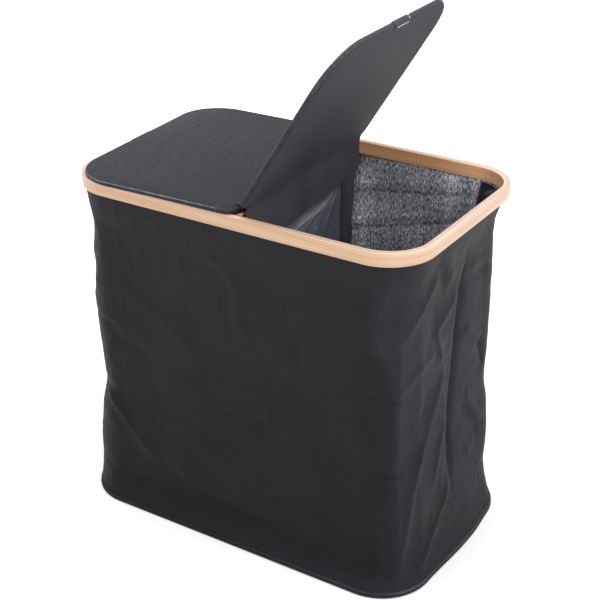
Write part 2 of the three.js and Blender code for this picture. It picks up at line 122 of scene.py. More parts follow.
# ---------------------------------------------------------------- node building

class Shader:
    """A short way to write a material's node tree."""

    def __init__(self, name, tree=None):
        if tree is None:
            self.material = bpy.data.materials.new(name)
            self.material.use_nodes = True
            tree = self.material.node_tree
        self.tree = tree
        tree.nodes.clear()

    def add(self, kind, inputs=None, **settings):
        node = self.tree.nodes.new(kind)
        for key, value in settings.items():
            setattr(node, key, value)
        for key, value in (inputs or {}).items():
            if isinstance(value, bpy.types.NodeSocket):
                self.tree.links.new(value, node.inputs[key])
            else:
                node.inputs[key].default_value = value
        return node

    def math(self, operation, a, b=0.0):
        return self.add("ShaderNodeMath", {0: a, 1: b}, operation=operation).outputs[0]

    def weighted(self, *terms):
        """The sum of values, each times its weight."""
        total = None
        for value, weight in terms:
            term = self.math("MULTIPLY", value, weight)
            total = term if total is None else self.math("ADD", total, term)
        return total

    def vector(self, operation, a, b=(0, 0, 0)):
        node = self.add("ShaderNodeVectorMath", {0: a, 1: b}, operation=operation)
        return node.outputs["Value" if operation == "LENGTH" else "Vector"]

    def scaled(self, where, factors):
        return self.vector("MULTIPLY", where, factors)

    def gained(self, colour, gain):
        return self.add("ShaderNodeVectorMath", {0: colour, 3: gain}, operation="SCALE").outputs[0]

    def tinted(self, share, colour, tint):
        """The colour times a tint, mixed in by this share."""
        return self.add("ShaderNodeMix", {0: share, 6: colour, 7: self.scaled(colour, tint)},
                        data_type="RGBA").outputs[2]

    def noise(self, where, scale, detail=2.0, roughness=0.5, dimensions="3D", w=None):
        inputs = {"Vector": where, "Scale": scale, "Detail": detail, "Roughness": roughness}
        if w is not None:
            inputs["W"] = w
        return self.add("ShaderNodeTexNoise", inputs, noise_dimensions=dimensions).outputs[0]

    def ramp(self, value, stops):
        node = self.add("ShaderNodeValToRGB", {"Fac": value})
        elements = node.color_ramp.elements
        while len(elements) < len(stops):
            elements.new(0.5)
        for element, (place, colour) in zip(elements, stops):
            element.position, element.color = place, (*colour, 1)
        return node.outputs[0]

    def grey(self, value, low, high, start=0.0, end=1.0):
        return self.add("ShaderNodeMapRange", {"Value": value, "From Min": start, "From Max": end,
                                               "To Min": low, "To Max": high}).outputs[0]

    def bump(self, height, distance, strength=1.0, after=None):
        inputs = {"Height": height, "Distance": distance, "Strength": strength}
        if after is not None:
            inputs["Normal"] = after
        return self.add("ShaderNodeBump", inputs).outputs[0]

    def finish(self, **sockets):
        surface = self.add("ShaderNodeBsdfPrincipled",
                           {key.replace("_", " "): value for key, value in sockets.items()})
        self.add("ShaderNodeOutputMaterial", {0: surface.outputs[0]})
        return self.material

    def place(self):
        return self.add("ShaderNodeTexCoord").outputs["Object"]

    def parts(self, where):
        """The X, Y and Z of a vector."""
        return self.add("ShaderNodeSeparateXYZ", {0: where}).outputs

    def cloth_place(self):
        """The cloth's own coordinates, in metres along its two threads."""
        return self.add("ShaderNodeUVMap", uv_map="cloth").outputs[0]

    def seen(self):
        """1 where the camera sees the surface directly, by a reflection or through a clear piece."""
        rays = self.add("ShaderNodeLightPath").outputs
        return self.math("MAXIMUM", self.math("MAXIMUM", rays["Is Camera Ray"], rays["Is Glossy Ray"]),
                         rays["Is Transmission Ray"])

    def edge_tone(self, colour, pale, dark, tint=None):
        """Painted light: lightens the colour where the edge attribute is above 0 and darkens it below 0.
        The tint is for the painted pale places."""
        edge = self.add("ShaderNodeAttribute", attribute_name="edge").outputs["Fac"]
        if tint:
            colour = self.tinted(self.grey(edge, 0.0, 1.0, 0.0, 0.4), colour, tint)
        gain = self.math("MULTIPLY", self.grey(edge, 1.0, 1 + pale), self.grey(edge, dark, 1.0, -1.0, 0.0))
        return self.gained(colour, gain)

    def weave(self, where, pitch):
        """Plain weave: threads of this pitch cross over and under each other."""
        turns = 2 * math.pi / pitch
        across, along = (self.math("MULTIPLY", part, turns) for part in self.parts(where)[:2])
        product = self.math("MULTIPLY", self.math("SINE", across), self.math("SINE", along))
        return self.math("MULTIPLY_ADD", product, 0.5)


def make_stage():
    world = bpy.data.worlds.new("world")
    bpy.context.scene.world = world
    world.use_nodes = True
    s = Shader("world", world.node_tree)
    strength = s.grey(s.seen(), 0.62, 1.0)
    background = s.add("ShaderNodeBackground", {"Color": (1, 1, 1, 1), "Strength": strength})
    s.add("ShaderNodeOutputWorld", {0: background.outputs[0]})

    area_light("key_light", (1.9, -0.5, 1.6), 1.6, 26)
    area_light("top_light", (-0.3, 0.1, 2.4), 1.8, 26)
    area_light("front_light", (-0.9, -2.2, 1.2), 1.6, 12)

    # The floor takes a soft shadow near the hamper and runs out into white
    s = Shader("floor")
    far = s.grey(s.vector("LENGTH", s.place()), 0.0, 1.0, 0.5, 1.4)
    glow = s.math("MULTIPLY", s.seen(), s.grey(far, 0.32, 1.0))
    diffuse = s.add("ShaderNodeBsdfDiffuse", {"Color": (0.82, 0.82, 0.82, 1)})
    light = s.add("ShaderNodeEmission", {"Color": (1, 1, 1, 1), "Strength": glow})
    both = s.add("ShaderNodeAddShader", {0: diffuse.outputs[0], 1: light.outputs[0]})
    s.add("ShaderNodeOutputMaterial", {0: both.outputs[0]})
    mesh = bpy.data.meshes.new("floor")
    reach = 12
    mesh.from_pydata([(-reach, -reach, 0), (reach, -reach, 0), (reach, reach, 0), (-reach, reach, 0)],
                     [], [(0, 1, 2, 3)])
    linked("floor", mesh, s.material)


# ---------------------------------------------------------------- materials

# Woven cloths: dark and light colour, thread pitch (mm), roughness, weave depth and crinkle (mm),
# sheen and specular level, and what cloth() says about the rest
CLOTHS = {
    "outer_canvas": ((0.0078, 0.0077, 0.0091), (0.0172, 0.0169, 0.0196), 1.3, 0.62, 0.05, 0.55, 0.015, 0.12,
                     {"rise": 0.75, "edged": (0.9, 0.6, (1.03, 0.99, 1.1))}),
    "welt_tape": ((0.0100, 0.0099, 0.0117), (0.0215, 0.0211, 0.0245), 1.1, 0.6, 0.06, 0.4, 0.015, 0.12,
                  {"edged": (2.4, 0.6, (1.03, 0.99, 1.1))}),
    "lid_cloth": ((0.033, 0.034, 0.041), (0.046, 0.047, 0.055), 1.4, 0.74, 0.07, 0.12, 0.03, 0.15, {}),
    "lid_top_cloth": ((0.028, 0.029, 0.035), (0.051, 0.052, 0.061), 1.4, 0.74, 0.07, 0.12, 0.03, 0.15,
                      {"edged": (2.8, 0.42), "slub": (90, 420), "heather": 0.6}),
    "under_cloth": ((0.030, 0.029, 0.0365), (0.048, 0.0465, 0.0565), 1.3, 0.76, 0.05, 0.1, 0.03, 0.15,
                    {"edged": (0.8, 0.5), "slub": (420, 420)}),
    "divider_cloth": ((0.052, 0.056, 0.070), (0.100, 0.106, 0.128), 1.1, 0.36, 0.04, 0.35, 0.1, 0.7,
                      {"edged": (2.4, 0.5), "slub": (260, 260), "heather": 0.5}),
    "webbing": ((0.015, 0.015, 0.01725), (0.028, 0.028, 0.03164), 1.6, 0.8, 0.08, 0.4, 0.04, 0.3, {}),
    # The middle sleeves' cloth: the webbing with its colours painted twice as light, painted light
    "sleeve_cloth": ((0.030, 0.030, 0.0345), (0.056, 0.056, 0.06328), 1.6, 0.8, 0.08, 0.4, 0.04, 0.3, {}),
}


def cloth(name, dark, light, pitch, roughness, weave_depth, crinkle, sheen, specular, rise=0.0, edged=None,
          slub=(150, 620), heather=0.2):
    """Woven cloth: thread relief, uneven dye and fine crumpling. rise lightens it by height. edged
    reads the edge attribute, which holds painted light: above 0 the cloth is painted paler, below 0
    darker. slub is the scale of the uneven threads both ways, and heather is their share in the colour."""
    s = Shader(name)
    where = s.cloth_place()
    body = s.place()
    blotch = s.noise(body, 14, 3)
    slubs = s.grey(s.noise(s.scaled(where, (*slub, 1)), 1.0, 3, 0.6), 0.0, 1.0, 0.3, 0.7)
    tone = s.weighted((blotch, 1 - heather), (slubs, heather))
    if rise:
        above = s.math("SUBTRACT", s.parts(body)[2], 0.25)
        tone = s.math("ADD", tone, s.math("MULTIPLY", above, rise))
    colour = s.ramp(tone, [(0.3, dark), (0.7, light)])
    if edged:
        colour = s.edge_tone(colour, *edged)
    normal = s.bump(s.noise(body, 70, 4, 0.6), crinkle * MM)
    normal = s.bump(s.weave(where, pitch * MM), weave_depth * MM, 0.6, normal)
    return s.finish(Base_Color=colour, Roughness=s.grey(blotch, roughness - 0.06, roughness + 0.06, 0.3, 0.7),
                    Normal=normal, Sheen_Weight=sheen, Sheen_Roughness=0.4, Specular_IOR_Level=specular)


def melange_lining():
    """Pale and dark yarn in upright flecks, with painted light: brighter low down than towards the rim."""
    s = Shader("melange_lining")
    where = s.cloth_place()
    flecks = s.noise(s.scaled(where, (450, 170, 1)), 1.0, 2, 0.7)
    fine = s.noise(s.scaled(where, (900, 520, 1)), 1.0, 1)
    bands = s.noise(s.scaled(where, (70, 5, 1)), 1.0, 2)
    tone = s.weighted((flecks, 0.62), (fine, 0.2), (bands, 0.18))
    colour = s.ramp(tone, [(0.38, (0.050, 0.053, 0.065)), (0.46, (0.150, 0.156, 0.178)),
                           (0.53, (0.345, 0.355, 0.39)), (0.61, (0.65, 0.66, 0.70))])
    colour = s.edge_tone(colour, 0.25, 0.36)
    # Painted light: the lining is painted brighter low down in the bin
    colour = s.gained(colour, s.grey(s.parts(s.place())[2], 1.85, 1.06, 0.385, 0.455))
    normal = s.bump(flecks, 0.5 * MM)
    normal = s.bump(s.weave(where, 2.0 * MM), 0.12 * MM, 0.7, normal)
    return s.finish(Base_Color=colour, Roughness=0.92, Normal=normal, Sheen_Weight=0.1,
                    Specular_IOR_Level=0.2)


def bamboo():
    """Layers that follow the bent strip round the corners: inset is the distance from the line
    that joins the centres of the corners."""
    s = Shader("bamboo")
    where = s.place()
    corner = s.vector("SUBTRACT", s.vector("ABSOLUTE", s.scaled(where, (1, 1, 0))),
                      ((RIM_HALF[0] - RIM_CORNER) * MM, (RIM_HALF[1] - RIM_CORNER) * MM, 0))
    inset = s.vector("LENGTH", s.vector("MAXIMUM", corner, (0, 0, 0)))
    grain = s.noise(s.scaled(where, (9, 9, 900)), 1.0, 3, 0.55, "4D", s.math("MULTIPLY", inset, 900))
    strips = s.noise(s.scaled(where, (5, 5, 160)), 1.0, 1, 0.5, "4D", s.math("MULTIPLY", inset, 220))
    tone = s.weighted((grain, 0.45), (strips, 0.55))
    colour = s.ramp(tone, [(0.3, (0.50, 0.30, 0.165)), (0.48, (0.64, 0.41, 0.245)),
                           (0.7, (0.74, 0.515, 0.34))])
    # The inner face is tinted warmer. Painted light: the top and the right end are painted paler, and a
    # painted highlight lies on the inner face towards the back right corner.
    x, y, z = s.parts(where)
    inner = s.grey(inset, 1.0, 0.0, 0.0552, 0.0561)
    top = s.grey(z, 0.0, 1.0, (RIM_TOP - 1.2) * MM, (RIM_TOP - 0.4) * MM)
    right = s.grey(x, 0.0, 1.0, 0.19, 0.25)
    far = s.math("MULTIPLY", s.math("MULTIPLY", s.grey(x, 0.0, 1.0, 0.13, 0.2),
                                    s.grey(y, 0.0, 1.0, 0.12, 0.152)), inner)
    for share, tint in ((inner, (1.3, 1.09, 0.9)), (top, (1.1, 1.2, 1.45)), (right, (1.01, 1.05, 1.13)),
                        (far, (1.28, 1.34, 1.4))):
        colour = s.tinted(share, colour, tint)
    return s.finish(Base_Color=colour, Roughness=s.grey(grain, 0.34, 0.5), Normal=s.bump(grain, 0.12 * MM),
                    Specular_IOR_Level=0.5, Coat_Weight=0.12, Coat_Roughness=0.3)


def make_materials():
    made = {name: cloth(name, *values, **more) for name, (*values, more) in CLOTHS.items()}
    made["melange_lining"] = melange_lining()
    made["bamboo"] = bamboo()

    # Even stuff with fine grains: scale, detail and roughness of the noise, its two colours, its depth
    for name, grains, dark, pale, depth, rough in (
            ("fibre_board", (320, 4, 0.65), (0.16, 0.11, 0.065), (0.30, 0.22, 0.14), 0.2, 0.88),
            ("pad_foam", (700, 2), (0.56, 0.55, 0.50), (0.70, 0.69, 0.64), 0.3, 0.95)):
        s = Shader(name)
        stuff = s.noise(s.place(), *grains)
        made[name] = s.finish(Base_Color=s.ramp(stuff, [(0.3, dark), (0.7, pale)]), Roughness=rough,
                              Normal=s.bump(stuff, depth * MM))

    for name, base, metal, rough in (("rod_steel", 0.52, 1.0, 0.34), ("screw_steel", 0.6, 1.0, 0.28),
                                     ("socket_plastic", 0.014, 0.0, 0.46)):
        s = Shader(name)
        wear = s.noise(s.place(), 420, 3)
        colour = s.ramp(wear, [(0.3, (base * 0.85,) * 3), (0.7, (base,) * 3)])
        made[name] = s.finish(Base_Color=colour, Metallic=metal, Normal=s.bump(wear, 0.03 * MM),
                              Roughness=s.grey(wear, rough - 0.05, rough + 0.08))

    for name, tone in (("pale_thread", 0.8), ("lid_thread", 0.05), ("dark_thread", 0.013)):
        s = Shader(name)
        twist = s.add("ShaderNodeTexWave",
                      {"Vector": s.place(), "Scale": 400.0, "Distortion": 1.0}).outputs[0]
        colour = s.ramp(twist, [(0.2, (tone * 0.75,) * 3), (0.8, (tone,) * 3)])
        made[name] = s.finish(Base_Color=colour, Roughness=0.8, Normal=s.bump(twist, 0.1 * MM))
    return made


# ---------------------------------------------------------------- mesh building

def surface(name, points, material, uv=None, wrap=False, cap=False, flip=False, thickness=0.0):
    """A mesh from a grid of points (rows x columns x 3, mm). wrap joins the last column to the
    first, cap closes the last row, thickness makes it a sheet that grows away from its face."""
    rows, columns = points.shape[:2]
    index = np.arange(rows * columns).reshape(rows, columns)
    right = np.roll(index, -1, 1) if wrap else index[:, 1:]
    left = index if wrap else index[:, :-1]
    quads = np.stack([left[:-1], right[:-1], right[1:], left[1:]], -1).reshape(-1, 4)
    faces = quads.tolist()
    if cap:
        faces.append(index[-1].tolist())
    if flip:
        faces = [face[::-1] for face in faces]
    mesh = bpy.data.meshes.new(name)
    mesh.from_pydata((points.reshape(-1, 3) * MM).tolist(), [], faces)
    mesh.polygons.foreach_set("use_smooth", [True] * len(mesh.polygons))
    # A free border is a sharp edge, so that the sheet's cut side doesn't tint its face
    edges = np.zeros(len(mesh.loops), np.int32)
    mesh.loops.foreach_get("edge_index", edges)
    mesh.edges.foreach_set("use_edge_sharp", np.bincount(edges, minlength=len(mesh.edges)) == 1)
    layer = mesh.uv_layers.new(name="cloth")
    flat = (points[..., :2] if uv is None else uv).reshape(-1, 2) * MM
    corners = np.zeros(len(mesh.loops), np.int32)
    mesh.loops.foreach_get("vertex_index", corners)
    layer.data.foreach_set("uv", flat[corners].astype(np.float32).ravel())
    piece = linked(name, mesh, material)
    if thickness:
        solid = piece.modifiers.new("thickness", "SOLIDIFY")
        solid.thickness, solid.offset = thickness * MM, -1
        solid.use_even_offset = False
    return piece


def lattice(u, v, cells_u, cells_v, seed):
    """Smooth noise from -1 to 1. u and v run from 0 to 1, and u repeats."""
    table = np.random.default_rng(seed).uniform(-1, 1, (cells_v + 2, cells_u))
    x, y = np.asarray(u) * cells_u, np.clip(v, 0, 1) * cells_v
    i, j = np.floor(x).astype(int), np.minimum(np.floor(y).astype(int), cells_v)
    fx, fy = x - i, y - j
    fx, fy = fx * fx * (3 - 2 * fx), fy * fy * (3 - 2 * fy)
    i0, i1, j1 = i % cells_u, (i + 1) % cells_u, np.minimum(j + 1, cells_v + 1)
    low = table[j, i0] * (1 - fx) + table[j, i1] * fx
    high = table[j1, i0] * (1 - fx) + table[j1, i1] * fx
    return low * (1 - fy) + high * fy


def ease(value):
    """From 0 to 1 with a soft start and end, for values from 0 to 1."""
    t = np.clip(value, 0, 1)
    return t * t * (3 - 2 * t)


def rounded_line(points, repeats=2):
    """Cuts the corners of a line of points, so that a fold bends softly."""
    line = np.array(points, float)
    for _ in range(repeats):
        near, far = line[:-1] * 0.75 + line[1:] * 0.25, line[:-1] * 0.25 + line[1:] * 0.75
        line = np.vstack([line[:1], np.stack([near, far], 1).reshape(-1, 2), line[-1:]])
    return line


def fold_height(a, b, folds, period=None):
    """Sum of the folds over the surface coordinates a and b. Each fold is
    (kind, height, width, points): ridge and crease are sharp, swell is soft, and step lifts the
    side to the left of its line and drops the other. A fold fades out at both of its ends.
    The second result is the crest tone, painted light: a painted highlight on ridges and painted shade in
    creases."""
    total, crest = np.zeros(np.shape(a)), np.zeros(np.shape(a))
    for kind, height, width, points in folds:
        line = rounded_line(points)
        spans = np.linalg.norm(np.diff(line, axis=0), axis=1)
        reached = np.concatenate([[0], np.cumsum(spans)])
        middle = line[:, 0].mean()
        shifted = a if period is None else (a - middle + period / 2) % period - period / 2 + middle
        best = np.full(np.shape(a), 1e9)
        share, side = np.zeros(np.shape(a)), np.zeros(np.shape(a))
        for k, (start, end) in enumerate(zip(line[:-1], line[1:])):
            d = end - start
            t = np.clip(((shifted - start[0]) * d[0] + (b - start[1]) * d[1]) / (d @ d), 0, 1)
            dx, dy = shifted - start[0] - t * d[0], b - start[1] - t * d[1]
            gap = np.hypot(dx, dy)
            closer = gap < best
            best = np.where(closer, gap, best)
            share = np.where(closer, (reached[k] + t * spans[k]) / reached[-1], share)
            side = np.where(closer, np.sign(d[0] * dy - d[1] * dx), side)
        fade = ease(share / 0.22) * ease((1 - share) / 0.22)
        if kind == "swell":
            shape = np.exp(-(best / width) ** 2)
        elif kind == "step":
            shape = side * (best / width) * np.exp(0.5 - 0.5 * (best / width) ** 2)
        else:
            shape = np.exp(1.2 / width - np.hypot(best, 1.2) / width)
        total += (-height if kind == "crease" else height) * shape * fade
        if kind in ("ridge", "crease"):
            crest += (1 if kind == "ridge" else -1) * min(height / 5, 1) * np.exp(-(best / 1.9) ** 2) * fade
    return total, crest


def toned(piece, tone):
    """Stores the crest or edge tone of a cloth piece, which is painted light, one value for each vertex."""
    layer = piece.data.attributes.new("edge", "FLOAT", "POINT")
    layer.data.foreach_set("value", np.clip(tone, -1, 1).astype(np.float32).ravel())


def stitches(name, points, normals, material, length, gap, radius):
    """A row of sewn stitches: short rounded threads that lie along a line of points (mm)."""
    points, normals = np.asarray(points, float), np.asarray(normals, float)
    spans = np.linalg.norm(np.diff(points, axis=0), axis=1)
    reached = np.concatenate([[0], np.cumsum(spans)])
    count = max(1, int(reached[-1] // (length + gap)))
    pitch = reached[-1] / count
    # A stitch's rings: share of its length, and of its radius
    sides, rings = 6, ((0, 0.25), (0.18, 0.85), (0.5, 1.0), (0.82, 0.85), (1, 0.25))

    def read(values, place):
        return np.array([np.interp(place, reached, values[:, i]) for i in range(3)])

    vertices, faces = [], []
    for k in range(count):
        first = len(vertices)
        for share, size in rings:
            at = k * pitch + gap / 2 + share * (pitch - gap)
            centre, up = read(points, at), read(normals, at)
            up /= np.linalg.norm(up)
            way = read(points, at + 0.5) - read(points, at - 0.5)
            across = np.cross(way / (np.linalg.norm(way) + 1e-9), up)
            # The middle of a stitch stands up from the cloth
            lift = 0.6 * radius * math.sin(math.pi * share)
            for q in range(sides):
                angle = 2 * math.pi * q / sides
                offset = across * math.cos(angle) + up * math.sin(angle)
                vertices.append((centre + up * lift + offset * radius * size) * MM)
        for ring in range(len(rings) - 1):
            for q in range(sides):
                a, b = first + ring * sides + q, first + ring * sides + (q + 1) % sides
                faces.append((a, b, b + sides, a + sides))
        faces.append(tuple(first + q for q in reversed(range(sides))))
        faces.append(tuple(first + (len(rings) - 1) * sides + q for q in range(sides)))
    mesh = bpy.data.meshes.new(name)
    mesh.from_pydata([tuple(v) for v in vertices], [], faces)
    mesh.polygons.foreach_set("use_smooth", [True] * len(mesh.polygons))
    return linked(name, mesh, material)


def rounded(piece, radius):
    """Rounds the sharp edges of a piece."""
    bevel = piece.modifiers.new("rounding", "BEVEL")
    bevel.width, bevel.segments, bevel.limit_method = radius * MM, 3, "ANGLE"
    return bevel


def strip_uv(across, count, pitch):
    """Cloth coordinates of a strip: these places across it, and rows at this pitch."""
    return np.stack(np.broadcast_arrays(across[None, :], np.arange(count)[:, None] * pitch), -1)


def dress(piece, body, slot, *replaced):
    if replaced:
        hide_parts(*replaced)
    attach(piece, body)


def softened(node, name, material, rounding):
    """A copy of a small soft solid with rounded edges and cloth on it."""
    mesh = nodes[node].data.copy()
    mesh.name = name
    mesh.materials.clear()
    layer = mesh.uv_layers.get("cloth") or mesh.uv_layers.new(name="cloth")
    for loop in mesh.loops:
        x, y, z = mesh.vertices[loop.vertex_index].co
        layer.data[loop.index].uv = (x + y, z)
    piece = linked(name, mesh, material)
    weld = piece.modifiers.new("weld", "WELD")
    weld.merge_threshold = 1e-5
    rounded(piece, rounding).angle_limit = math.radians(40)
    return piece


# ---------------------------------------------------------------- outer cloth

def bow(around, height):
    """The foot of the right end bows out between its corners."""
    n = np.mod(around, AROUND)
    depth, top = 5.4, 110
    along = ease((n - 270) / 120) * ease((492 - n) / 80)
    return depth * along * ease((top - height) / 100)


def round_plan(n, half_x, half_y, corner):
    """Where a plan with round corners has its corner's centre, and its outward direction, at these
    places round it."""
    angle = np.interp(n, KNOTS, [-1, -1, 0, 0, 1, 1, 2, 2, 3, 3]) * math.pi / 2
    x = np.interp(n, KNOTS, [0, 1, 1, 1, 1, -1, -1, -1, -1, 0]) * (half_x - corner)
    y = np.interp(n, KNOTS, [-1, -1, -1, 1, 1, 1, 1, -1, -1, -1]) * (half_y - corner)
    return x, y, np.stack([np.cos(angle), np.sin(angle)], -1)


def grown(rim, base, height):
    """A size of the plan, which grows from the rim to the base."""
    return rim + (base - rim) * (1 - height / RIM_TOP)


def plan(around, height, inset):
    """Point and outward direction on the walls."""
    corner = grown(RIM_CORNER, BASE_CORNER, height)
    half_x, half_y = (grown(rim, base, height) for rim, base in zip(RIM_HALF, BASE_HALF))
    x, y, out = round_plan(np.mod(around, AROUND), half_x, half_y, corner)
    reach = corner - (inset - bow(around, height))
    x, y = x + out[..., 0] * reach, y + out[..., 1] * reach
    return np.stack([x, y, np.broadcast_to(height, x.shape)], -1), out


# How far the cloth stands in from the line between rim and base, by height, as the photograph
# shows it at the two outlines, and between them
LEFT_PROFILE = [(9, 2.5), (30, 4.6), (52, 6.6), (80, 8.6), (128, 11.2), (148, 13.6), (176, 17.2),
                (230, 14.2), (300, 11.2), (350, 12.8), (430, 13.2), (456, 8.4), (481, 3.4)]
RIGHT_PROFILE = [(9, 2), (24, 6.4), (52, 12), (76, 15), (128, 13.2), (176, 14.8), (200, 18.4), (296, 19),
                 (384, 18), (428, 20), (452, 18.4), (470, 11), (481, 5.6)]
FRONT_PROFILE = [(9, 2), (24, 5.6), (42, 13.4), (52, 14.8), (68, 10.4), (110, 8.4), (170, 11.5),
                 (260, 14.5), (340, 14), (400, 12.5), (440, 9.5), (468, 5), (481, 3.4)]
END_PROFILE = [(9, 2), (26, 6), (44, 10.5), (60, 11), (110, 14.5), (180, 19), (260, 21), (340, 20.5),
               (400, 18), (440, 14), (466, 7), (481, 3.4)]

# Folds on the cloth: kind, height, width and points (perimeter coordinate, height)
FRONT_FOLDS = [
    ("ridge", 3.4, 8, [(-236, 186), (-222, 173), (-194, 150), (-167, 125), (-148, 106), (-110, 90)]),
    ("step", 1.6, 13, [(-128, 96), (-98, 86), (-72, 77), (-30, 74)]),
    ("swell", 2.2, 16, [(-200, 350), (-150, 336), (-108, 317), (-76, 296), (-52, 268)]),
    ("step", 1.5, 9, [(-62, 432), (-38, 426), (-12, 412), (5, 385), (2, 348), (12, 314)]),
    ("step", 1.5, 8, [(-62, 190), (-38, 204), (2, 213), (34, 216), (65, 214), (90, 196)]),
    ("ridge", 1.5, 7, [(-40, 176), (-20, 181), (18, 187), (42, 176), (70, 162), (98, 160)]),
    ("crease", 1.4, 7, [(100, 360), (101, 320), (100, 289), (99, 252)]),
    ("ridge", 1.3, 6, [(46, 252), (52, 234), (58, 212), (66, 184)]),
    ("swell", -2.6, 22, [(214, 470), (180, 432), (154, 404), (128, 366)]),
    ("step", 1.3, 10, [(150, 330), (176, 312), (204, 306), (226, 300)]),
    ("ridge", 1.6, 7, [(168, 232), (196, 214), (222, 200), (240, 197)]),
    ("step", 1.2, 10, [(120, 120), (150, 108), (184, 102), (214, 92)]),
    ("crease", 1.2, 6, [(-176, 420), (-160, 392), (-150, 360)]),
    ("step", 1.3, 11, [(-214, 300), (-190, 280), (-160, 268), (-124, 266)]),
    ("ridge", 1.2, 6, [(-90, 150), (-70, 138), (-40, 132), (-10, 136)]),
    ("step", 1.2, 9, [(20, 110), (60, 104), (96, 108)]),
]
# The upright corner between the front and the right end, and the notches in it
CORNER_FOLDS = [
    ("ridge", 4.2, 10, [(230, 480), (228, 458), (222, 436), (211, 400), (211, 379), (222, 356),
                        (238, 331), (239, 301)]),
    ("ridge", 1.6, 4, [(236, 330), (236, 302), (236, 255), (237, 195), (237, 152), (239, 91), (241, 37),
                       (240, 12)]),
    ("crease", 4.4, 7, [(188, 284), (214, 290), (231, 289), (243, 296)]),
    ("crease", 4.6, 7, [(200, 185), (222, 177), (235, 180), (248, 190)]),
    ("crease", 3.0, 7, [(200, 70), (213, 48), (224, 35), (238, 14)]),
    ("swell", -2.4, 15, [(206, 452), (196, 428), (192, 400)]),
]
RIGHT_FOLDS = [
    ("crease", 5.2, 6, [(400, 452), (397, 416), (396, 378), (387, 301), (376, 239), (370, 187), (371, 109),
                        (372, 80)]),
    ("ridge", 4.4, 6, [(362, 312), (342, 282), (309, 241), (284, 206), (274, 186), (259, 148), (250, 106),
                       (243, 61), (240, 18)]),
    ("ridge", 2.6, 6, [(357, 220), (345, 194), (321, 143), (310, 121)]),
    ("ridge", 3.0, 6, [(364, 130), (353, 101), (321, 76), (281, 42), (264, 22)]),
    ("ridge", 2.8, 7, [(326, 452), (311, 432), (263, 398), (239, 371), (226, 360)]),
    ("ridge", 3.0, 6, [(384, 396), (371, 378), (332, 361), (323, 351), (337, 313), (346, 290)]),
    ("ridge", 2.2, 7, [(328, 327), (305, 325), (269, 323), (239, 303), (226, 298)]),
    ("ridge", 2.2, 8, [(408, 324), (420, 314), (444, 296), (464, 279)]),
    ("crease", 3.4, 8, [(450, 292), (464, 272), (478, 236)]),
    ("step", 1.8, 10, [(300, 470), (322, 452), (340, 428), (352, 396)]),
    ("step", 1.6, 9, [(404, 220), (424, 200), (446, 168), (470, 146)]),
    ("ridge", 1.8, 7, [(410, 148), (430, 120), (456, 100), (484, 88)]),
    ("swell", -2.4, 14, [(306, 400), (316, 372), (312, 346)]),
    ("swell", -2.2, 14, [(304, 288), (298, 262), (280, 240)]),
    ("step", 1.5, 8, [(404, 410), (428, 396), (452, 400), (478, 386)]),
]


def shifted(folds, about, height=1.0, lift=0.0, mirror=True):
    """The same kind of folds elsewhere: mirrored about a place and moved up."""
    sign = -1 if mirror else 1
    return [(kind, size * height, width, [(about + sign * n, z + lift) for n, z in points])
            for kind, size, width, points in folds]


# The back and the left end, which the photograph doesn't show, have folds of the same kind
WALL_FOLDS = (FRONT_FOLDS + CORNER_FOLDS + shifted(RIGHT_FOLDS, 0, 1.35, mirror=False)
              + shifted(FRONT_FOLDS, BACK_MIDDLE, 0.9, mirror=False)[::2]
              + shifted(FRONT_FOLDS, BACK_MIDDLE, 0.8, -14)[1::2]
              + shifted(RIGHT_FOLDS, AROUND, 0.9, 8) + shifted(CORNER_FOLDS, AROUND, 0.35))


def smooth_profile(table, height):
    """A profile read at these heights, with its corners rounded over a few millimetres."""
    reach, softness = 24, 8.0
    table = np.array(table, float)
    fine = np.arange(table[0, 0], table[-1, 0] + 1, 1.0)
    values = np.interp(fine, table[:, 0], table[:, 1])
    kernel = np.exp(-(np.arange(-reach, reach + 1) / softness) ** 2)
    padded = np.concatenate([2 * values[0] - values[reach:0:-1], values,
                             2 * values[-1] - values[-2:-reach - 2:-1]])
    values = np.convolve(padded, kernel / kernel.sum(), "valid")
    return np.interp(height, fine, values)


# The right end painted pale, painted light: height, where it begins round the wall, and over what length
PALE_FROM = [(0, 200, 36), (60, 202, 34), (120, 210, 26), (170, 229, 6), (300, 230, 5), (331, 220, 14),
             (356, 198, 30), (400, 190, 38), (440, 198, 34), (480, 208, 30)]


def wall_tone(around, height):
    """Painted light on the outer cloth: a painted highlight on the fold crests and painted shade in the
    creases, the right end painted paler, painted shade at the left front corner and in a hollow above
    the foot, and a painted highlight along the foot.
    """
    n = np.mod(around, AROUND)
    heights, begins, softness = zip(*PALE_FROM)
    begins, softness = np.interp(height, heights, begins), np.interp(height, heights, softness)
    right = ease((n - begins) / softness) * ease((500 - n) / 40)
    # Painted light: how much paler the right end is painted, by height and by place round the wall
    right_end_light = (0.12 + 0.3 * ease((440 - height) / 110) * ease((n - 262) / 40)
             + 0.38 * ease((284 - n) / 30) * ease((480 - height) / 40) + 0.12 * ease((150 - height) / 50))
    # Painted shade at the left front corner
    left_corner_shade = 0.55 * ease((n - 1236) / 20) * ease((1345 - n) / 50) * ease((430 - height) / 90)
    # Along the front the foot is painted with a pale highlight, under painted shade in the hollow above it
    front = ease((240 - np.abs(np.mod(around + BACK_MIDDLE, AROUND) - BACK_MIDDLE)) / 30)
    foot = np.exp(-((height - 13) / 12) ** 2)
    painted_light = (front * (0.3 + 0.34 * ease((n - 20) / 180) * (n < 400)) + 0.3 * right) * foot
    hollow_shade = 0.4 * front * np.exp(-((height - 44) / 15) ** 2)
    crest = fold_height(around, height, WALL_FOLDS, AROUND)[1]
    return right * right_end_light + painted_light - left_corner_shade - hollow_shade + crest * (0.3 + 0.4 * right)


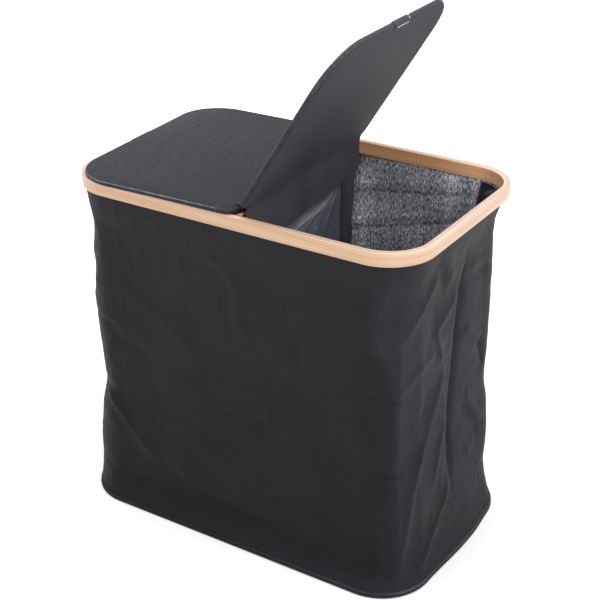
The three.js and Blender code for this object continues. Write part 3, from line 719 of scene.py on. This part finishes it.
def facet(around, height, inset):
    """The corner rods pull the cloth to an edge: flat from the corner's start to the edge, and flat
    again after it. Gives the distance by which the round corner moves out."""
    total = np.zeros(np.shape(around))
    radius = grown(RIM_CORNER, BASE_CORNER, height) - inset
    edge, end = 0.515 * math.pi / 2, math.pi / 2
    weight = ease((height - 4) / 40) * ease((452 - height) / 110)
    for first, strength, out in ((KNOTS[1], 1.0, 7.0), (KNOTS[5], 0.8, 6.0)):
        share = (around - first) / (KNOTS[2] - KNOTS[1])
        angle = np.clip(share, 0, 1) * end
        far = radius + out
        before = radius * far * math.sin(edge) / (radius * np.sin(angle) + far * np.sin(edge - angle))
        after = (radius * far * math.sin(end - edge)
                 / (far * np.sin(angle - edge) + radius * np.sin(end - angle)))
        moved = np.where(angle < edge, before, after) - radius
        total += np.where((share > 0) & (share < 1), moved, 0) * weight * strength
    return total


def wall_inset(around, height):
    """How far the outer cloth stands in from the plan at each place."""
    left, right, front, end = (smooth_profile(t, height) for t in
                               (LEFT_PROFILE, RIGHT_PROFILE, FRONT_PROFILE, END_PROFILE))
    edge = (left + right) / 2
    # The profile at each place round the wall, eased from one to the next
    first = -247
    places = ((first, left), (0, front), (FRONT_RIGHT, edge), (RIGHT_MIDDLE, end), (502, right),
              (BACK_MIDDLE, front), (998, edge), (LEFT_MIDDLE, end), (first + AROUND, left))
    n = np.mod(around - first, AROUND) + first
    inset = np.zeros(np.shape(n))
    for (start, here), (stop, there) in zip(places, places[1:]):
        share = ease((n - start) / (stop - start))
        inset = np.where((n >= start) & (n < stop), here * (1 - share) + there * share, inset)
    u, v = np.mod(around, AROUND) / AROUND, height / RIM_TOP
    rough = (1.3 * lattice(u, v, 12, 5, 3) + 0.9 * lattice(u, v, 25, 9, 4)
             + 0.45 * (1 - 2.4 * np.abs(lattice(u, v, 46, 17, 5)))
             + 0.22 * (1 - 2.4 * np.abs(lattice(u, v, 104, 36, 6))))
    relief = fold_height(around, height, WALL_FOLDS, AROUND)[0] + rough
    inset = inset - facet(np.mod(around, AROUND), height, inset)
    # The cloth is held straight by the rim and by the welt
    held = ease((height - 9) / 34) * ease((RIM_BOTTOM - height) / 26)
    return np.maximum(inset - relief * held, 1.6)


PANELS = {"front_panel": (-276, 276), "right_end_panel": (276, 474),
          "back_panel": (474, 1026), "left_end_panel": (1026, 1224)}


def wall_grid(start, end, pitch, rows):
    """Places round the wall and heights, for a sheet with columns at about this pitch."""
    columns = round((end - start) / pitch)
    return np.meshgrid(np.linspace(start, end, columns + 1), np.linspace(WALL_LOW, WALL_HIGH, rows + 1))


def make_walls(mat):
    for name, (start, end) in PANELS.items():
        n, z = wall_grid(start, end, 2.2, 214)
        points, _ = plan(n, z, wall_inset(n, z))
        piece = surface(name + "_cloth", points, mat["outer_canvas"], np.stack([n, z], -1),
                        thickness=WALL_CLOTH)
        toned(piece, wall_tone(n, z))
        dress(piece, "hamper", "outer_canvas", name)


def make_seams(mat):
    n = np.linspace(0, AROUND, 900)
    height = np.full(n.shape, 15.5)
    points, out = plan(n, height, wall_inset(n, height) - 0.15)
    normals = np.concatenate([out, np.full((len(n), 1), 0.1)], 1)
    dress(stitches("hem_stitches", points, normals, mat["dark_thread"], 3.2, 1.4, 0.34),
          "hamper", "outer_canvas")


BASE_COLUMNS = 520


def base_ring(inset, height):
    n = np.linspace(0, AROUND, BASE_COLUMNS, endpoint=False)
    x, y, out = round_plan(n, *BASE_HALF, BASE_CORNER)
    reach = BASE_CORNER - inset + bow(n, 0.0) * ease((44 - inset) / 30)
    x, y = x + out[..., 0] * reach, y + out[..., 1] * reach
    return np.stack([x, y, np.broadcast_to(height, x.shape)], -1)


def plate(table, pucker=0.0):
    """Rings of the base's plan from its border inwards, by (inset, height). They keep their shape
    and shrink once the corners are used up. pucker is the height of fine waves."""
    rings = []
    for inset, height in table:
        ring = base_ring(min(inset, 72), height)
        shrink = 1 - max(inset - 72, 0) / 120
        waves = lattice(np.linspace(0, 1, BASE_COLUMNS, endpoint=False),
                        np.full(BASE_COLUMNS, inset / 200), 60, 6, 21)
        ring = ring * (shrink, shrink, 1)
        ring[:, 2] += pucker * waves
        rings.append(ring)
    return np.array(rings)


# The welt is a folded strip: a round lower roll, a stitched groove and a flatter upper roll. Its
# section has an inset, a height, and its painted light: a painted highlight on the rolls and painted shade in
# the groove.
WELT_SECTION = [(6.2, 0.0, 0), (3.4, 0.05, 0), (1.6, 0.5, 0.5), (0.5, 1.5, 0.9), (0.05, 2.8, 0.9),
                (0.3, 4.1, 0.3), (1.15, 4.9, -0.6), (1.0, 5.5, 0.1), (0.45, 6.3, 0.8), (0.5, 7.4, 1.0),
                (1.0, 8.4, 1.0), (2.0, 9.1, 0.7), (3.6, 9.2, 0), (6.2, 9.2, 0), (6.4, 4.5, 0),
                (6.2, 0.0, 0)]


def make_base(mat):
    points = np.array([base_ring(inset, height) for inset, height, _ in WELT_SECTION])
    n = np.linspace(0, AROUND, BASE_COLUMNS, endpoint=False)
    welt = surface("base_welt_roll", points, mat["welt_tape"], strip_uv(n, len(WELT_SECTION), 1.6), wrap=True)
    # The painted highlight is strongest on the right end
    painted_light = np.array([welt_light for _, _, welt_light in WELT_SECTION])[:, None]
    end = (0.06 + 0.3 * ease(n / 200) + 0.7 * ease((n - 206) / 50)) * ease((530 - n) / 40)
    toned(welt, np.where(painted_light > 0, painted_light * end[None, :], 0.6 * painted_light))
    dress(welt, "hamper", "outer_canvas", "base_welt")

    cover = plate([(6.4, 1.6), (6.6, 0.5), (7.6, 0.15), (12, 0.1), (30, 0.3), (60, 0.5), (110, 0.6),
                   (160, 0.6)])
    dress(surface("base_underside", cover, mat["outer_canvas"], wrap=True, cap=True, flip=True,
                  thickness=LINING_CLOTH),
          "hamper", "outer_canvas", "base_cover")

    # The floor lining puckers where it meets the walls
    lining = plate([(10.4, 7.3), (11.5, 7.8), (14, 7.7), (22, 7.6), (40, 7.7), (70, 7.8), (110, 7.7),
                    (160, 7.8)], pucker=0.25)
    dress(surface("floor_cloth", lining, mat["melange_lining"], wrap=True, cap=True, thickness=LINING_CLOTH),
          "hamper", "melange_lining", "floor_lining")


# ---------------------------------------------------------------- linings, sleeves and divider

BACK_CREASES = [
    ("crease", 3.6, 7, [(768, 424), (748, 428), (700, 434), (640, 444), (590, 454), (520, 466)]),
    ("ridge", 2.2, 9, [(760, 440), (700, 447), (640, 456), (580, 466)]),
    ("crease", 4.0, 6, [(764, 366), (744, 371), (690, 384), (640, 398), (590, 413), (556, 424)]),
    ("ridge", 2.4, 9, [(756, 384), (700, 397), (650, 409), (600, 424)]),
    ("step", 1.8, 10, [(740, 332), (690, 340), (640, 330), (600, 336)]),
    ("crease", 2.2, 8, [(752, 250), (690, 262), (620, 258), (560, 270)]),
    ("step", 1.8, 12, [(744, 170), (680, 160), (610, 176), (560, 170)]),
    ("step", 1.5, 12, [(740, 90), (660, 96), (580, 84)]),
]
END_CREASES = [
    ("crease", 2.6, 7, [(470, 430), (420, 424), (360, 418), (300, 428), (262, 436)]),
    ("crease", 2.4, 8, [(480, 330), (410, 322), (350, 330), (290, 322)]),
    ("step", 1.8, 10, [(470, 220), (400, 232), (330, 220), (280, 228)]),
    ("step", 1.6, 10, [(460, 120), (390, 110), (320, 122)]),
    ("crease", 2.2, 8, [(240, 400), (180, 392), (110, 400), (40, 394)]),
    ("step", 1.6, 11, [(230, 290), (160, 300), (90, 290), (30, 296)]),
]
RIGHT_CREASES = BACK_CREASES + END_CREASES
LEFT_CREASES = shifted(RIGHT_CREASES, AROUND, 0.9, -6)
# Each lining's first and last place round the wall, at the divider
LININGS = {"right_lining": (17.5, 744.5, RIGHT_CREASES), "left_lining": (749.5, 1512.5, LEFT_CREASES)}


def lining_inset(around, height, creases):
    """The lining hangs just inside the outer cloth, with level creases of its own."""
    gap, room, least, share, draw = 2.0, 2.6, 0.4, 0.7, 14.5
    outer = wall_inset(around, height)
    u, v = np.mod(around, AROUND) / AROUND, height / RIM_TOP
    own = (0.9 * (1 + lattice(u, v, 20, 14, 11)) + 0.5 * (1 + lattice(u, v, 50, 30, 12))
           + np.maximum(fold_height(around, height, creases, AROUND)[0], -2.2))
    held = ease((height - 10) / 20) * ease((RIM_BOTTOM - height) / 8)
    # The divider draws the linings in at its two ends
    n = np.mod(around, AROUND)
    front_end, back_end = 13.7, 745.3
    ends = np.minimum.reduce([np.abs(n - front_end), np.abs(n - front_end - AROUND), np.abs(n - back_end)])
    drawn = draw * ease(1.04 - ends / 36) * ease((height - 12) / 60) * ease((RIM_BOTTOM - 5 - height) / 26)
    return outer + gap + np.maximum(room + own, least) * held * share + drawn


def make_linings(mat):
    for name, (start, end, creases) in LININGS.items():
        n, z = wall_grid(start, end, 3.6, 132)
        points, _ = plan(n, z, lining_inset(n, z, creases))
        piece = surface(name + "_cloth", points, mat["melange_lining"], np.stack([n, z], -1), flip=True,
                        thickness=LINING_CLOTH)
        # Painted light: painted shade beside the divider at the back and in a band under the top, paler cloth
        # lower down, and the crest tone on the creases
        shaded = (0.6 * ease((66 - np.abs(n - BACK_MIDDLE)) / 46) + 0.2 * ease((446 - z) / 30)
                  - 0.36 * ease((430 - z) / 24))
        toned(piece, 1.3 * fold_height(n, z, creases, AROUND)[1] - shaded)
        dress(piece, "hamper", "melange_lining", name)


# Each sleeve: its rod's place, where it is round the wall (the middle ones follow the turned
# divider), and the creases of the lining behind it
SLEEVES = [("front_left", FRONT_LEFT, LEFT_CREASES), ("front_middle", None, RIGHT_CREASES),
           ("front_right", FRONT_RIGHT, RIGHT_CREASES), ("back_left", BACK_LEFT, LEFT_CREASES),
           ("back_middle", None, RIGHT_CREASES), ("back_right", BACK_RIGHT, RIGHT_CREASES)]
# One side of the tube round a rod, where it faces into the bin: along the wall, and out towards it
TUBE_SIDE = [(-6.1, -2.2), (-4.6, -4.5), (-2.4, -5.9)]


def make_sleeves(mat):
    for place, around, creases in SLEEVES:
        node = f"rod_sleeve_{place}"
        low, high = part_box(node)
        centre = np.array([(low[i] + high[i]) / 2 / MM for i in (0, 1)])
        spread = (34, 28, 21, 15, 10.5, 9)
        if around is None:
            around, spread = centre[0] if centre[1] < 0 else BACK_MIDDLE - centre[0], (9.8, 8.9)
        z = np.linspace(SLEEVE_LOW, SLEEVE_HIGH, 70)

        def on_lining(shift):
            n = np.full(z.shape, float(around)) + shift
            return plan(n, z, lining_inset(n, z, creases) + SLEEVE_CLOTH)

        wall, out = on_lining(0)
        out = out[0]
        side = np.array([-out[1], out[0]])
        # The sleeve's two borders are sewn flat on the lining
        border = np.stack([on_lining(shift)[0] for shift in (*(-a for a in spread), *spread[::-1])], 1)
        wing = len(spread)
        rows = []
        for k, height in enumerate(z):
            depth = max(float((wall[k, :2] - centre) @ out), 1.5)
            wave = 0.5 * math.sin(height / 17) + 0.35 * math.sin(height / 6.3 + around)
            half = [(-8.0, depth - 0.5), (-7.1, depth - 1.6), (-6.7, min(1.2, depth - 2.4)), *TUBE_SIDE]
            outline = [*half, (0, -6.4), *((-a, r) for a, r in reversed(half))]
            tube = [(*(centre + side * a + out * (r + 0.35 * wave * math.exp(-(a / 5) ** 2))), height)
                    for a, r in outline]
            rows.append([*border[k, :wing], *tube, *border[k, wing:]])
        # The closed top of the sleeve folds over the rod's end, and its borders run on under the rim
        last = np.array(rows[-1])
        for shrink, lift in ((0.86, 1.2), (0.55, 2.6), (0.2, 3.9)):
            top = last.copy()
            middle = np.array([*wall[-1, :2], last[0, 2]])
            top[wing:-wing] = middle + (last[wing:-wing] - middle) * (shrink, shrink, 1)
            top[:, 2] += lift
            rows.append(top)
        points = np.array(rows, float)
        uv = strip_uv(np.arange(points.shape[1]) * 2.2, len(rows), 6.8)
        # Painted light: the middle sleeves get the webbing painted twice as light
        cover = mat["sleeve_cloth" if "middle" in place else "webbing"]
        piece = surface(f"sleeve_{place}", points, cover, uv, thickness=SLEEVE_CLOTH)
        dress(piece, "hamper", "webbing", node)


def in_centre(points):
    """From the centre set's own frame to the hamper's."""
    points = np.asarray(points, float)
    c, s = math.cos(CENTRE_TURN), math.sin(CENTRE_TURN)
    x = points[..., 0] * c - points[..., 1] * s + CENTRE_SHIFT
    y = points[..., 0] * s + points[..., 1] * c
    return np.stack([x, y, points[..., 2]], -1)


DIVIDER_FOLDS = [
    ("ridge", 5.6, 6, [(-70, 424), (-17, 430), (5, 431), (29, 432), (51, 430), (68, 434), (83, 442),
                       (112, 452)]),
    ("crease", 5.0, 5, [(-10, 398), (27, 409), (38, 414), (52, 422), (69, 429), (79, 436), (110, 452)]),
    ("ridge", 2.6, 5, [(-40, 449), (10, 448), (58, 447), (82, 447), (114, 452)]),
    ("crease", 2.4, 5, [(-30, 440), (20, 441), (60, 441), (96, 450)]),
    ("ridge", 2.8, 6, [(48, 380), (69, 404), (88, 428), (112, 452)]),
    ("crease", 2.6, 6, [(74, 372), (90, 404), (102, 430), (114, 450)]),
    ("step", 2.4, 14, [(-120, 360), (-60, 340), (0, 346), (60, 320)]),
    ("step", 2.2, 16, [(-110, 240), (-40, 260), (30, 240), (110, 262)]),
    ("step", 2.0, 16, [(-120, 140), (-30, 120), (60, 144), (120, 130)]),
    ("swell", 2.6, 26, [(-70, 180), (-60, 300), (-70, 400)]),
]
# Painted highlights and painted shade on the satin cloth: the same form, with tones for heights
DIVIDER_PAINTED_LIGHT = [
    ("swell", 0.6, 8, [(-40, 418), (7, 421), (21, 422), (35, 424), (49, 427), (72, 436)]),
    ("swell", 0.35, 3, [(-17, 430), (5, 431), (29, 432), (51, 430), (68, 434), (83, 442), (100, 449)]),
    ("swell", -0.3, 16, [(60, 380), (78, 402), (89, 414), (104, 428)]),
    ("swell", 0.3, 3, [(58, 424), (86, 429), (94, 440)]),
    ("swell", 0.25, 4, [(22, 392), (40, 402), (56, 408)]),
]


def make_divider(mat):
    low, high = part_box("divider_web")
    reach = (high[1] - low[1]) / 2 / MM / math.cos(CENTRE_TURN)
    y, z = np.meshgrid(np.linspace(-reach, reach, 110), np.linspace(SLEEVE_LOW, DIVIDER_HIGH, 210))
    u, share = (y + 200) / 400, (z - SLEEVE_LOW) / (DIVIDER_HIGH - SLEEVE_LOW)
    relief, crest = fold_height(y, z, DIVIDER_FOLDS)
    relief += 1.6 * lattice(u, share, 6, 7, 31) + 0.5 * lattice(u, share, 18, 20, 32)
    held = ease((reach - np.abs(y)) / 18) * ease(share / 0.05) * ease((1 - share) / 0.04)
    points = in_centre(np.stack([0.8 + relief * held, y, z], -1))
    piece = surface("divider_sheet", points, mat["divider_cloth"], np.stack([y, z], -1),
                    thickness=DIVIDER_CLOTH)
    toned(piece, crest + fold_height(y, z, DIVIDER_PAINTED_LIGHT)[0])
    dress(piece, "hamper", "divider_cloth", "divider_web")


def flap_middle(side, v, w):
    """How far the middle of a flap stands off the divider, along it (v) and up it (w)."""
    gap, lean, wave = 6.9, 9.0 if side > 0 else 2.0, 0.7
    below = np.clip(1 - w, 0, 1)
    return (gap + lean * ease((0.35 - v) / 1.35) * below ** 1.2
            + wave * lattice((v + 1) / 2, w, 7, 2, 41 + side) * below)


def flap_reach(v, w):
    """The flap is wider at its top than at its foot."""
    foot_half, widening = 126.5, 25
    return v * (foot_half + widening * np.sin(np.clip(w / 0.8, 0, 1) * math.pi / 2))


def flap_height(side, v, w):
    """The flap's edges are cut round at its four corners, and the right one hangs askew."""
    tilt, cut = 2.5 if side > 0 else 0, 12
    low = FLAP_LOW + tilt * v
    corner = cut * (1 - np.sqrt(1 - np.clip((np.abs(v) - 0.92) / 0.08, 0, 1) ** 2))
    return low + (FLAP_TOP - low) * w + np.where(w < 0.5, corner * (1 - 2 * w) * 0.7, -corner * (2 * w - 1))


def make_flaps(mat):
    """The stiff flaps under the hinge. The right one stands off the divider towards the front."""
    for name, side in (("left", -1), ("right", 1)):
        v, w = np.meshgrid(np.linspace(-1, 1, 110), np.linspace(0, 1, 26))
        x, y, z = side * flap_middle(side, v, w), flap_reach(v, w), flap_height(side, v, w)
        points = in_centre(np.stack([x, y, z], -1))
        piece = surface(f"{name}_flap", points, mat["under_cloth"], np.stack([y, z], -1), flip=side < 0)
        solid = piece.modifiers.new("thickness", "SOLIDIFY")
        solid.thickness, solid.offset = FLAP_BOARD * MM, 0
        rounded(piece, 0.8)
        dress(piece, "hamper", "lid_cloth", f"hinge_flap_{name}")


# ---------------------------------------------------------------- lids

# The top cover's section, as (inset, height): from the inner edge of the turned-under border, round
# the edge and over the padded top
TOP_SECTION = [(9.0, -7.9), (8.8, -8.4), (8.0, -8.6), (6.4, -8.7), (4.4, -8.75), (2.9, -8.6), (1.9, -8.2),
               (1.15, -7.5), (0.6, -6.5), (0.25, -5.4), (0.05, -4.3), (0.0, -3.3), (0.12, -2.4), (0.45, -1.6),
               (1.0, -1.0), (1.7, -0.72), (2.5, -0.72), (3.4, -0.82), (5, -0.85), (8, -0.78), (11, -0.7),
               (15, -0.58), (20, -0.44), (26, -0.3), (34, -0.15), (43, -0.05), (53, 0), (64, 0), (76, 0),
               (88, 0), (100, 0), (112, 0), (122, 0)]
# The under side's section, from its border inwards
UNDER_SECTION = [(2.0, -8.3), (2.2, -8.8), (2.8, -9.1), (4.0, -9.22), (7, -9.25), (11, -9.25), (17, -9.22),
                 *((inset, -9.2) for inset in (24, 34, 46, 60, 76, 92, 108, 122))]
# The tab's way round the free edge, as (outwards, height)
TAB_SECTION = [(250.7, -9.1), (251.3, -9.5), (253.0, -9.55), (254.6, -9.2), (255.6, -8.5), (256.3, -7.5),
               (256.75, -6.3), (256.95, -5.1), (257.0, -3.8), (256.9, -2.7), (256.55, -1.7), (255.9, -0.95),
               (255.2, -0.85)]


def lid_outline(inset):
    """The lid's plan from the hinge outwards (u, v), with its larger corners at the free end."""
    corner_steps, straight_steps = 20, 30
    near, far, half = LID_GAP + inset, LID_LENGTH - inset, LID_HALF_WIDTH - inset
    free, hinge = max(LID_FREE_CORNER - inset, 6), max(LID_HINGE_CORNER - inset, 3)
    points = []
    for cx, cy, radius, start in ((far - free, -half + free, free, -90), (far - free, half - free, free, 0),
                                  (near + hinge, half - hinge, hinge, 90),
                                  (near + hinge, -half + hinge, hinge, 180)):
        for k in range(corner_steps + 1):
            angle = math.radians(start + 90 * k / corner_steps)
            points.append((cx + radius * math.cos(angle), cy + radius * math.sin(angle)))
    line = []
    for k, (a, b) in enumerate(zip(points, points[1:] + points[:1])):
        steps = straight_steps if k % (corner_steps + 1) == corner_steps else 1
        line += [(a[0] + (b[0] - a[0]) * t / steps, a[1] + (b[1] - a[1]) * t / steps) for t in range(steps)]
    return np.array(line)


def lid_matrix(side):
    angle = LID_OPEN if side > 0 else 0
    return (Matrix.Translation((CENTRE_SHIFT, 0, HINGE_HEIGHT)) @ Matrix.Rotation(CENTRE_TURN, 4, "Z")
            @ Matrix.Rotation(-side * math.radians(angle), 4, "Y"))


def on_lid(points, side):
    """From a lid's own frame (outwards, along the hinge, up) to the hamper's."""
    points = np.asarray(points, float) * (side, 1, 1)
    turn = np.array(lid_matrix(side))
    return points @ turn[:3, :3].T + turn[:3, 3]


def lid_place(line, inset, height, side):
    """The soft lid as it lies: lower along its edge, and the closed one flattened a little wider."""
    sag, front_sag, back_lift, spread = 1.2 if side > 0 else 0.6, 1.2, 0.9, (1.004, 1.0124)
    upper = np.clip((height + 7.5) / 5.5, 0, 1)
    height = height - sag * math.exp(-(inset / 10) ** 2) * upper
    if side < 0:
        front, back = ease((-line[:, 1] - 60) / 90), ease((line[:, 1] - 60) / 90)
        height = height + (back_lift * back - front_sag * front) * math.exp(-(inset / 6) ** 2) * upper
        line = line * spread
    return np.column_stack([line, np.broadcast_to(height, len(line))])


def lid_noise(line, cells_u, cells_v, seed):
    """Smooth noise over a lid's plan."""
    return lattice(line[:, 0] / LID_LENGTH * 0.5, (line[:, 1] + 160) / 320, cells_u, cells_v, seed)


def top_tone(line, inset, height, side):
    """Painted light: a painted highlight along the edge's crest and painted shade where the edge turns down.
    On the closed lid's top, the free end is painted paler and the hinge side, the front and the front edge
    darker.
    """
    outer = ease((line[:, 0] - 90) / 130)
    if height < -2:
        return 0.6 * outer - 0.42 if side > 0 else np.full(len(line), -0.5)
    if inset < 1.5:
        return ease((line[:, 0] - 18) / 16) * (0.45 + 0.4 * outer if side > 0 else 1)
    if side > 0:
        return np.zeros(len(line))
    near = math.exp(-((inset - 3) / 20) ** 2) * ease((-line[:, 1] - 90) / 60)
    return (0.12 * ease((line[:, 0] - 190) / 70) - 0.17 * ease((230 - line[:, 0]) / 160)
            - 0.2 * ease((90 - line[:, 1]) / 240) - 0.1 * near)


def make_lid_top(name, side, mat):
    rings, flat, tone = [], [], []
    for inset, height in TOP_SECTION:
        line = lid_outline(inset)
        on_top = ease((inset - 4) / 20) * (height > -3)
        soft = 0.35 * lid_noise(line, 8, 6, 51 + side) + 0.18 * lid_noise(line, 22, 18, 53 + side)
        drop = (-0.3 + np.minimum(soft, 0.3)) * on_top
        edge = 0.15 * lattice(np.linspace(0, 1, len(line), endpoint=False), np.full(len(line), 0.5),
                              40, 1, 57 + side) * math.exp(-((inset - 1) / 4) ** 2)
        rings.append(lid_place(line, inset, height + drop + edge, side))
        flat.append(np.column_stack([line[:, 0], line[:, 1] + inset * 0.001]))
        tone.append(top_tone(line, inset, height, side))
    piece = surface(f"{name}_top", on_lid(np.array(rings), side), mat["lid_top_cloth"], np.array(flat),
                    wrap=True, cap=True, flip=side < 0, thickness=LID_CLOTH)
    toned(piece, np.array(tone))
    dress(piece, name, "lid_cloth", f"{name}_top_cover")


def make_lid_underside(name, side, mat):
    rings, flat, tone = [], [], []
    for inset, height in UNDER_SECTION:
        line = lid_outline(inset)
        # It waves upwards only, so that the closed lid clears the rim
        soft = 0.18 * (1 + lid_noise(line, 9, 7, 61 + side)) * ease((inset - 4) / 12)
        rings.append(lid_place(line, inset, height + soft, side))
        flat.append(line)
        # Painted light: the turned-under border is painted paler towards the free end, and the under side
        # paler near the hinge and darker towards the free end
        border = ease((line[:, 0] + 0.6 * line[:, 1] - 100) / 110)
        tone.append(0.34 * math.exp(-((inset - 3) / 5) ** 2) * border
                    + 0.24 * ease((110 - line[:, 0]) / 100) - 0.12 * ease((line[:, 0] - 130) / 80))
    piece = surface(f"{name}_underside", on_lid(np.array(rings), side), mat["under_cloth"], np.array(flat),
                    wrap=True, cap=True, flip=side > 0, thickness=LID_CLOTH)
    toned(piece, np.array(tone))
    dress(piece, name, "lid_cloth", f"{name}_under_cover")


def make_tab(name, side, mat):
    """The tab wraps the free edge and is sewn down with pale thread."""
    columns = 30
    v = np.linspace(-TAB_HALF, TAB_HALF, columns)
    wave = 0.12 * lattice(np.linspace(0, 1, columns), np.full(columns, 0.5), 7, 1, 71 + side)
    outer = 0.55 if side < 0 else 0.0
    section = [(u + outer, lid_place(np.array([[u, 0.0]]), LID_LENGTH - u, w, side)[0, 2])
               for u, w in TAB_SECTION]
    points = np.array([[(u + k, y, w - k) for y, k in zip(v, wave)] for u, w in section])
    tab = surface(f"{name}_pull_tab", on_lid(points, side), mat["lid_top_cloth"],
                  strip_uv(v, len(section), 1.4), flip=side > 0, thickness=TAB_CLOTH)
    # Painted light: the tab is painted paler on the open lid and darker on the closed one
    toned(tab, np.full(points.shape[:2], 0.2 if side > 0 else -0.2))
    dress(tab, name, "webbing", f"{name}_tab")

    turn = np.array(lid_matrix(side))[:3, :3]
    near_end = [(u + 0.15, TAB_HALF - 1.2, w - 0.05) for u, w in section[3:-1]]
    far_end = [(u, -y, w) for u, y, w in near_end]
    low = [(252.2, -13, -9.72), (252.2, TAB_HALF - 1.6, -9.72)]
    for label, line, facing, thread, length, gap, radius in (
            ("end", near_end, (side, 0, 0), "pale_thread", 3.8, 0.3, 0.85),
            ("far_end", far_end, (side, 0, 0), "lid_thread", 3.0, 1.0, 0.35),
            ("low", low, (0, 0, -1), "pale_thread", 5.2, 0.8, 0.8)):
        normals = np.repeat([turn @ facing], len(line), 0)
        sewn = stitches(f"{name}_tab_stitches_{label}", on_lid(line, side), normals, mat[thread], length,
                        gap, radius)
        dress(sewn, name, "webbing")


def make_lids(mat):
    for name, side in (("left_lid", -1), ("right_lid", 1)):
        make_lid_top(name, side, mat)
        make_lid_underside(name, side, mat)
        make_tab(name, side, mat)


def make_hinges(mat):
    """Soft cloth on the fold: from each lid's under side to its flap."""
    # pull is how far the bend follows both parts, and the cloth stands off the flap by its gap,
    # which grows by its slack towards the bend
    half, pull, bend_steps, gap, slack = 150, 7, 8, 1.09, 0.45
    for name, side in (("left", -1), ("right", 1)):
        v = np.linspace(-1, 1, 100)
        lid_part = on_lid(np.array([[(u, half * y, w) for y in v] for u, w in (
            (16.0, -9.1), (13.5, -9.22), (11.0, -9.3), (8.0, -9.35))]), side)
        rows = []
        for w in (0.835, 0.76, 0.66, 0.54, 0.42, 0.3, 0.19, 0.1, 0.04):
            x = side * (flap_middle(side, v, np.full(v.shape, w)) + gap + slack * ease(w / 0.85))
            rows.append(np.column_stack([x, flap_reach(v, w), flap_height(side, v, w)]))
        flap_part = in_centre(np.array(rows))
        # The cloth bends evenly from the lid to the flap
        leaving = lid_part[-1] + (lid_part[-1] - lid_part[-2]) / 3 * pull
        arriving = flap_part[0] + (0, 0, pull)
        between = [lid_part[-1] * (1 - t) ** 3 + 3 * leaving * t * (1 - t) ** 2
                   + 3 * arriving * t ** 2 * (1 - t) + flap_part[0] * t ** 3
                   for t in np.linspace(0.11, 0.89, bend_steps)]
        points = np.array([*lid_part, *between, *flap_part])
        piece = surface(f"{name}_hinge_cloth", points, mat["under_cloth"],
                        strip_uv(half * v, len(points), 2.4), flip=side < 0, thickness=HINGE_CLOTH)
        # Painted light: the hinge cloth is painted paler than the flaps of the same cloth
        toned(piece, np.full(points.shape[:2], 0.27))
        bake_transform(piece)


def make_small_cloth(mat):
    for node, name, slot, rounding, body in (
            ("rim_hem_strip", "hem_strip", "webbing", 0.4, "hamper"),
            ("fastening_tape_left", "left_tape", "webbing", 0.3, "hamper"),
            ("fastening_tape_right", "right_tape", "webbing", 0.3, "hamper"),
            ("hinge_strip", "hinge_bead", "lid_cloth", 0.2, "hamper"),
            ("left_lid_hinge_leaf", "left_lid_leaf", "lid_cloth", 0.3, "left_lid"),
            ("right_lid_hinge_leaf", "right_lid_leaf", "lid_cloth", 0.3, "right_lid")):
        dress(softened(node, name, mat[slot], rounding), body, slot, node)


RIGID = {
    "bamboo": ("bamboo_rim", "centre_bar"),
    "fibre_board": ("base_board", "left_lid_board", "right_lid_board"),
    "pad_foam": ("left_lid_pad", "right_lid_pad"),
    "rod_steel": tuple(f"rod_{place}" for place, _, _ in SLEEVES),
    "screw_steel": ("socket_screw_front", "socket_screw_back"),
    "socket_plastic": ("bar_socket_front", "bar_socket_back"),
}


def finish_rigid(mat):
    for slot, names in RIGID.items():
        for name in names:
            for place in nodes[name].material_slots:
                place.material = mat[slot]


make_camera()
make_stage()
bpy.context.scene.view_settings.view_transform = "Standard"
materials = make_materials()
for make in (make_walls, make_seams, make_base, make_linings, make_sleeves, make_divider, make_flaps,
             make_lids, make_hinges, make_small_cloth, finish_rigid):
    make(materials)
